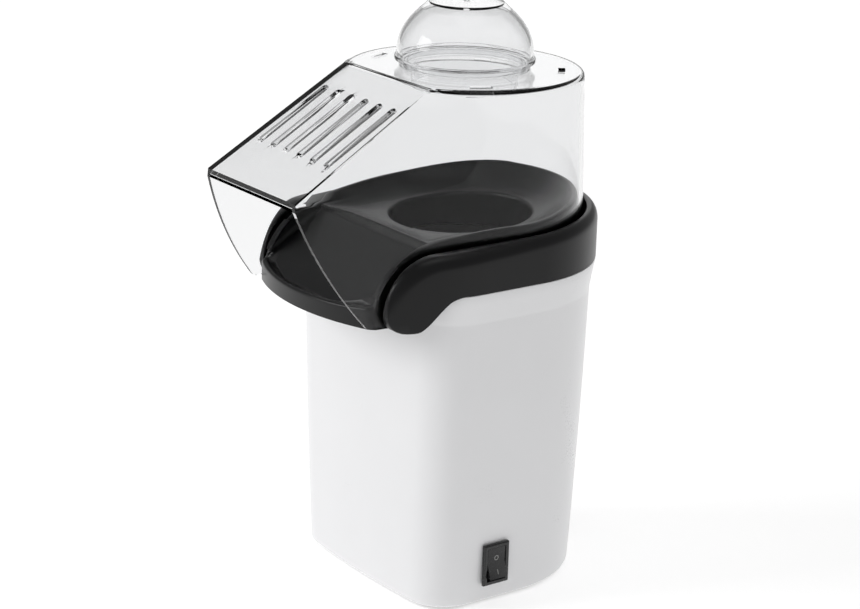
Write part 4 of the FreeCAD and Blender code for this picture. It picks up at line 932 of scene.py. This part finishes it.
def deck_edge(bearing):
    """The deck's outer edge: the well's outline, cut straight across the front."""
    x, y = cos(bearing), sin(bearing)
    reach = WELL_OUTLINE_R + 0.6
    if y < 0:
        for _ in range(8):
            reach = well_point(y=reach * y)[0] / abs(x) + 0.6 if abs(x) > 0.5 and reach * y < -8 else reach
        reach = min(reach, DECK_FRONT / y)
    return reach


DECK_STEPS = 160
deck_rows = [[], [], [], []]
for i in range(DECK_STEPS):
    bearing = 2 * pi * i / DECK_STEPS
    for row, (reach, z) in zip(deck_rows, ((deck_edge(bearing), DECK_Z), (DECK_HOLE_R, DECK_Z),
                                           (DECK_HOLE_R, COLLAR_LOW), (deck_edge(bearing), COLLAR_LOW))):
        row.append((reach * cos(bearing), reach * sin(bearing), z))
deck = joined("deck", [grid_mesh("deck", deck_rows, True, True)])
piece("collar", joined("collar", [collar_band, deck], 0.000001), "base", black_abs,
      ["collar_ring"], sharp=42.0)

# ---- Switch -----------------------------------------------------------------------------------------
# A rocker switch in glossy black nylon. Its bezel clips into the tower's cut-out, and the rocker turns
# on a pin between the bezel's sides; the plain ring and bar moulded in its face mean off and on.
def rounded_copy(node, width, angle=30.0):
    """Mesh of a CAD node with its flat faces made whole and its sharp edges rounded."""
    mesh = joined(node + "_round", [frame["nodes"][node].data], 0.00001)
    work = bmesh.new()
    work.from_mesh(mesh)
    bmesh.ops.dissolve_limit(work, angle_limit=radians(2.0), verts=work.verts, edges=work.edges)
    work.to_mesh(mesh)
    work.free()
    made = loose(node + "_round", mesh)
    bevel = made.modifiers.new("round", "BEVEL")
    bevel.width, bevel.segments, bevel.angle_limit = width * MM, 3, radians(angle)
    bevel.limit_method, bevel.harden_normals = "ANGLE", False
    return baked(made)


switch_nylon, shader, spot = finish("switch_nylon", IOR=1.5)
grain = noise(spot, 900.0, 2.0)
feed(shader, "Base Color", mixed(grain, (0.006, 0.006, 0.0065), (0.011, 0.011, 0.012)))
feed(shader, "Roughness", grain * 0.12 + 0.20)
feed(shader, "Normal", relief(spot, grain, 0.00001, 0.4))
mark_paint, shader, spot = finish("mark_paint")
feed(shader, "Base Color", mixed(noise(spot, 1200.0), (0.20, 0.20, 0.20), (0.28, 0.28, 0.27)))
feed(shader, "Roughness", noise(spot, 800.0) * 0.2 + 0.4)
piece("switch_frame", rounded_copy("switch_bezel", 0.35), "base", switch_nylon,
      ["switch_bezel"])
piece("rocker", rounded_copy("switch_rocker", 0.45, angle=24.0), "rocker", switch_nylon,
      ["switch_rocker"])

rocker_low, rocker_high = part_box("switch_rocker")
ROCKER_CENTRE_Z = (rocker_low.z + rocker_high.z) / 2 / MM
HALF_FACE = (rocker_high.z - rocker_low.z) / 2 / MM


face_start = rocker_low.x + (rocker_high.x - rocker_low.x) * 0.45
face_corners = sorted({(round(v.co.z / MM, 2), round(v.co.x / MM, 2))
                       for v in frame["nodes"]["switch_rocker"].data.vertices if v.co.x > face_start})


def rocker_face_x(z):
    """How far the rocker's face stands out at a height, read from its outline."""
    below = [c for c in face_corners if c[0] <= z] or face_corners[:1]
    above = [c for c in face_corners if c[0] >= z] or face_corners[-1:]
    (z0, x0), (z1, x1) = below[-1], above[0]
    return x0 if z1 == z0 else x0 + (x1 - x0) * (z - z0) / (z1 - z0)


def on_face(z_middle, across, up, lift):
    """Point beside the middle of a mark on the rocker's slanted face, lifted a little off it."""
    tilt = (rocker_face_x(z_middle + 2.0) - rocker_face_x(z_middle - 2.0)) / 4.0
    return (rocker_face_x(z_middle) + tilt * up + lift, SWITCH_Y + across, z_middle + up)


SUNK, PROUD, MARK_R, MARK_LINE, BAR_HALF_W, BAR_HALF_H, RING_STEPS = -0.05, 0.07, 1.3, 0.45, 0.25, 1.1, 32
off_z, on_z = ROCKER_CENTRE_Z + HALF_FACE * 0.30, ROCKER_CENTRE_Z - HALF_FACE * 0.60
bar_corners = [(across * BAR_HALF_W, up * BAR_HALF_H) for across, up in ((-1, -1), (1, -1), (1, 1), (-1, 1))]
bar_rows = [[on_face(on_z, across, up, lift) for across, up in bar_corners] for lift in (SUNK, PROUD)]
ring_turns = [2 * pi * i / RING_STEPS for i in range(RING_STEPS)]
ring_profile = ((MARK_R, SUNK), (MARK_R, PROUD), (MARK_R - MARK_LINE, PROUD), (MARK_R - MARK_LINE, SUNK))
ring_rows = [[on_face(off_z, r * cos(turn), r * sin(turn), lift) for turn in ring_turns]
             for r, lift in ring_profile]
marks = [joined("ring_mark", [grid_mesh("ring_mark", ring_rows, True, True)]),
         capped(grid_mesh("bar_mark", bar_rows, False, True))]
piece("rocker_marks", joined("rocker_marks", marks), "rocker", mark_paint)

# ---- Feet ------------------------------------------------------------------------------------------
# Four soft rubber feet push into the bottom cover: a pad below it, a neck through it and a bead above.
# Their rubber is dull, with a fine grain.
rubber, shader, spot = finish("rubber", IOR=1.45)
grain = noise(spot, 1400.0, 3.0)
feed(shader, "Base Color", mixed(grain, (0.018, 0.018, 0.018), (0.035, 0.034, 0.033)))
feed(shader, "Roughness", grain * 0.15 + 0.62)
feed(shader, "Normal", relief(spot, grain, 0.00003, 0.6))
piece("feet", rounded_copy("rubber_feet", 0.5, angle=40.0), "base", rubber, ["rubber_feet"])

# ---- Finishes of the inner parts ---------------------------------------------------------------------
# What is turned, stamped or moulded keeps its own shape. Each finish follows how the piece is made:
# drawn aluminium, galvanised sheet, zinc-plated screws, oxidised wire, mica board, ferrite and brass.


def metal(name, dark, light, roughness, spread, grain_scale=300.0, stretch=(1.0, 1.0, 1.0), bump=0.00001):
    """Bare metal with a fine grain that may be drawn out along one direction."""
    material, shader, spot = finish(name)
    drawn = spot.node("ShaderNodeMapping", Vector=spot, Scale=stretch)
    grain, clouds = noise(drawn, grain_scale, 4.0), noise(spot, 35.0, 3.0)
    feed(shader, "Base Color", mixed(clouds, dark, light))
    feed(shader, "Metallic", clouds * 0.04 + 0.96)
    feed(shader, "Roughness", grain * spread + clouds * spread + (roughness - spread))
    feed(shader, "Normal", relief(spot, grain, bump, 0.5))
    return material


def plain(name, dark, light, roughness, grain_scale=700.0, bump=0.00002):
    """Matt or glossy stuff with a slightly uneven colour and a fine grain."""
    material, shader, spot = finish(name)
    grain, clouds = noise(spot, grain_scale, 3.0), noise(spot, 45.0, 3.0)
    feed(shader, "Base Color", mixed(clouds, dark, light))
    feed(shader, "Roughness", grain * 0.15 + roughness)
    feed(shader, "Normal", relief(spot, grain, bump, 0.5))
    return material


drawn_aluminium = metal("drawn_aluminium", (0.20, 0.20, 0.21), (0.28, 0.28, 0.29), 0.34, 0.10,
                        260.0, (1.0, 1.0, 0.08))
zinc_plate = metal("zinc_plate", (0.52, 0.53, 0.55), (0.66, 0.67, 0.68), 0.30, 0.08, 900.0)
galvanised = metal("galvanised", (0.50, 0.51, 0.52), (0.68, 0.69, 0.70), 0.38, 0.14, 160.0)
oxidised_wire = metal("oxidised_wire", (0.28, 0.26, 0.24), (0.42, 0.39, 0.36), 0.45, 0.12, 1200.0)
sintered_brass = metal("sintered_brass", (0.62, 0.46, 0.22), (0.80, 0.62, 0.33), 0.34, 0.10, 1500.0)
BY_SLOT = {
    "white_plastic": white_abs, "black_plastic": black_abs, "clear_plastic": clear_plastic,
    "chamber_aluminium": drawn_aluminium, "screw_steel": zinc_plate, "sheet_steel": galvanised,
    "heater_wire": oxidised_wire, "bearing_brass": sintered_brass, "foot_rubber": rubber,
    "switch_plastic": switch_nylon,
    "heatproof_plastic": plain("phenolic", (0.060, 0.045, 0.038), (0.095, 0.072, 0.060), 0.45),
    "mica_board": plain("mica_board", (0.60, 0.53, 0.38), (0.78, 0.71, 0.55), 0.30, 240.0, 0.00006),
    "magnet_ferrite": plain("ferrite", (0.050, 0.050, 0.055), (0.085, 0.085, 0.090), 0.55),
    "circuit_board": plain("lacquered_board", (0.020, 0.120, 0.045), (0.035, 0.180, 0.070), 0.22),
}
for part in frame["record"]["subparts"]:
    for held in frame["nodes"][part["node"]].material_slots:
        held.material = BY_SLOT[part["material_slot"]]

# ---- Screws ----------------------------------------------------------------------------------------
# Zinc-plated pan-head screws with a cross recess. Four hold the bottom cover, others the deck, the duct
# and the motor. Each stands where the design has it, and points the way its shank goes.
def islands(node):
    """Points of each separate solid of a CAD node, in a fixed order."""
    work = bmesh.new()
    work.from_mesh(frame["nodes"][node].data)
    bmesh.ops.remove_doubles(work, verts=work.verts, dist=0.00001)
    left, found = set(work.verts), []
    while left:
        reached, front = set(), [next(iter(left))]
        while front:
            vert = front.pop()
            if vert not in reached:
                reached.add(vert)
                front += [edge.other_vert(vert) for edge in vert.link_edges]
        left -= reached
        found.append(sorted(tuple(v.co) for v in reached))
    work.free()
    return sorted(found)


tree, given = new_tree("screw_set", (("Head radius", "Float", 0.0028), ("Head height", "Float", 0.0016),
                                     ("Shank radius", "Float", 0.0015), ("Shank length", "Float", 0.009),
                                     ("Up", "Float", 1.0), ("Places", "Object", None)))
head_r, head_h, up = given["Head radius"], given["Head height"], given["Up"]
head = head_r.node("GeometryNodeMeshCylinder", Vertices=28, Radius=head_r, Depth=head_h)
crown = head_r.node("GeometryNodeMeshUVSphere", Segments=28, Rings=14, Radius=head_r * 1.9)
crown = crown.moved(Translation=head_r.vector(Z=head_h * 0.5 - head_r * 1.9))
head = head.node("GeometryNodeMeshBoolean", {"operation": "INTERSECT", "solver": "EXACT"}, i1=head)
head.tree.links.new(crown.socket, head.socket.node.inputs[1])
bar_size = head_r.vector(X=head_r * 1.25, Y=head_r * 0.24, Z=head_h * 1.2)
bar_at = head_r.vector(Z=head_h * 0.62)
recess = head_r.node("GeometryNodeMeshCube", Size=bar_size)
recess = recess.moved(Translation=bar_at)
crossed = recess.moved(Rotation=(0.0, 0.0, pi / 2))
cutting = {"operation": "DIFFERENCE", "solver": "EXACT"}
head = head.node("GeometryNodeMeshBoolean", cutting, i0=head, i1=recess)
head.tree.links.new(crossed.socket, head.socket.node.inputs[1])
shank_l = given["Shank length"]
shank = shank_l.node("GeometryNodeMeshCylinder", Vertices=20, Radius=given["Shank radius"], Depth=shank_l)
shank = shank.moved(Translation=shank_l.vector(Z=(head_h + shank_l) * -0.5 + 0.0001))
screw_form = shank.node("GeometryNodeJoinGeometry", Geometry=head)
screw_form.tree.links.new(shank.socket, screw_form.socket.node.inputs[0])
spots = given["Places"].node("GeometryNodeObjectInfo", {"transform_space": "ORIGINAL"}, output="Geometry",
                             Object=given["Places"])
standing = screw_form.node("GeometryNodeInstanceOnPoints", Points=spots, Instance=screw_form,
                           Rotation=up.vector(X=(1.0 - up) * (pi / 2)))
close_tree(tree, standing, zinc_plate)


def screws_for(node, body):
    """Fine screws in place of a CAD node's plain ones, with sizes and places read from them."""
    middles, sizes = [], None
    for points in islands(node):
        low = [min(p[k] for p in points) for k in range(3)]
        high = [max(p[k] for p in points) for k in range(3)]
        x, y = (low[0] + high[0]) / 2, (low[1] + high[1]) / 2
        radii = [(sqrt((p[0] - x) ** 2 + (p[1] - y) ** 2), p[2]) for p in points]
        head_radius = max(r for r, _ in radii)
        rim = [z for r, z in radii if r > head_radius * 0.98]
        head_up = (min(rim) + max(rim)) / 2 > (low[2] + high[2]) / 2
        tip = low[2] if head_up else high[2]
        shank_radius = max(r for r, z in radii if abs(z - tip) < 0.0002)
        middles.append((x, y, (min(rim) + max(rim)) / 2))
        head_height = max(rim) - min(rim)
        sizes = (head_radius, head_height, shank_radius, high[2] - low[2] - head_height, head_up)
    dots = bpy.data.meshes.new(node + "_places")
    dots.from_pydata(middles, [], [])
    places = loose(node + "_places", dots)
    mesh = grown(node + "_fine", tree, Head_radius=sizes[0], Head_height=sizes[1], Shank_radius=sizes[2],
                 Shank_length=sizes[3], Up=1.0 if sizes[4] else -1.0, Places=places)
    bpy.data.objects.remove(places)
    piece(node + "_fine", capped(mesh, close=False), body, zinc_plate, [node], sharp=30.0)


for node in ("chamber_screws", "duct_screws", "motor_screws", "cover_screws"):
    screws_for(node, "base")

# ---- Heater coil -------------------------------------------------------------------------------------
# One length of resistance wire, wound as a helix through the notches of the crossed mica plates.
coil_low, coil_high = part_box("heater_coil")
WIRE_R, COIL_TURNS = 0.0007, 6
tree, given = new_tree("wound_wire", (("Turns", "Float", float(COIL_TURNS)), ("Radius", "Float", 0.032),
                                      ("Height", "Float", 0.015), ("Wire radius", "Float", WIRE_R)))
helix = given["Turns"].node("GeometryNodeCurveSpiral", Resolution=40, Rotations=given["Turns"],
                            Start_Radius=given["Radius"], End_Radius=given["Radius"], Height=given["Height"])
section = given["Turns"].node("GeometryNodeCurvePrimitiveCircle", Resolution=10, Radius=given["Wire radius"])
wire = helix.node("GeometryNodeCurveToMesh", Curve=helix, Profile_Curve=section, Fill_Caps=True)
close_tree(tree, wire, oxidised_wire)
coil_radius = (coil_high.x - coil_low.x) / 2 - WIRE_R
coil_mesh = grown("coil", tree, Radius=coil_radius, Height=coil_high.z - coil_low.z - 2 * WIRE_R)
coil_mesh.transform(Matrix.Translation((0.0, AXIS_Y * MM, coil_low.z + WIRE_R)))
piece("coil", coil_mesh, "base", oxidised_wire, ["heater_coil"])

# ---- Camera, floor and light --------------------------------------------------------------------------
# A plain pale floor, a large soft light in front and to the left, one overhead and a faint one behind.
camera = bpy.data.objects.new("camera", bpy.data.cameras.new("camera"))
bpy.context.scene.collection.objects.link(camera)
bpy.context.scene.camera = camera
CAMERA_AT, CAMERA_YAW, CAMERA_PITCH, CAMERA_ROLL = (884.65, -661.29, 482.44), 53.22, 17.39, 1.837
camera.location = place(CAMERA_AT)
look = Matrix.Rotation(radians(CAMERA_YAW), 3, "Z") @ Matrix.Rotation(radians(90 - CAMERA_PITCH), 3, "X")
camera.rotation_euler = (look @ Matrix.Rotation(radians(CAMERA_ROLL), 3, "Z")).to_euler()
camera.data.sensor_width, camera.data.lens = 36.0, 98.338608
camera.data.shift_x, camera.data.shift_y = -0.0318, -0.0094
camera.data.clip_end = 50.0

floor_mesh = bpy.data.meshes.new("floor")
floor_mesh.from_pydata([(-6, -6, 0), (6, -6, 0), (6, 6, 0), (-6, 6, 0)], [], [(0, 1, 2, 3)])
floor = loose("floor", floor_mesh)
floor_paint, shader, spot = finish("floor_paint", Base_Color=(0.93, 0.93, 0.93, 1.0), Roughness=0.9,
                                   Emission_Color=(1.0, 1.0, 1.0, 1.0), Emission_Strength=0.52)
floor_mesh.materials.append(floor_paint)

world = bpy.data.worlds.new("studio")
bpy.context.scene.world = world
world.use_nodes = True
world.node_tree.nodes["Background"].inputs["Color"].default_value = (1.0, 1.0, 1.0, 1.0)
world.node_tree.nodes["Background"].inputs["Strength"].default_value = 0.38


def softbox(name, at, size, power):
    """Rectangular light that faces the object."""
    light = bpy.data.lights.new(name, "AREA")
    light.shape, light.size, light.size_y, light.energy = "RECTANGLE", size[0], size[1], power
    made = loose(name, light)
    made.location = at
    aim = Vector((0.0, 0.0, 0.14)) - Vector(at)
    made.rotation_euler = aim.to_track_quat("-Z", "Y").to_euler()
    return made


softbox("key", (-0.75, -1.5, 0.9), (0.8, 0.8), 12.0)
softbox("overhead", (0.0, 0.1, 1.6), (0.9, 0.9), 2.0)
softbox("back", (-1.6, 1.2, 0.75), (1.2, 0.8), 2.4)
bpy.context.scene.view_settings.view_transform = "Standard"
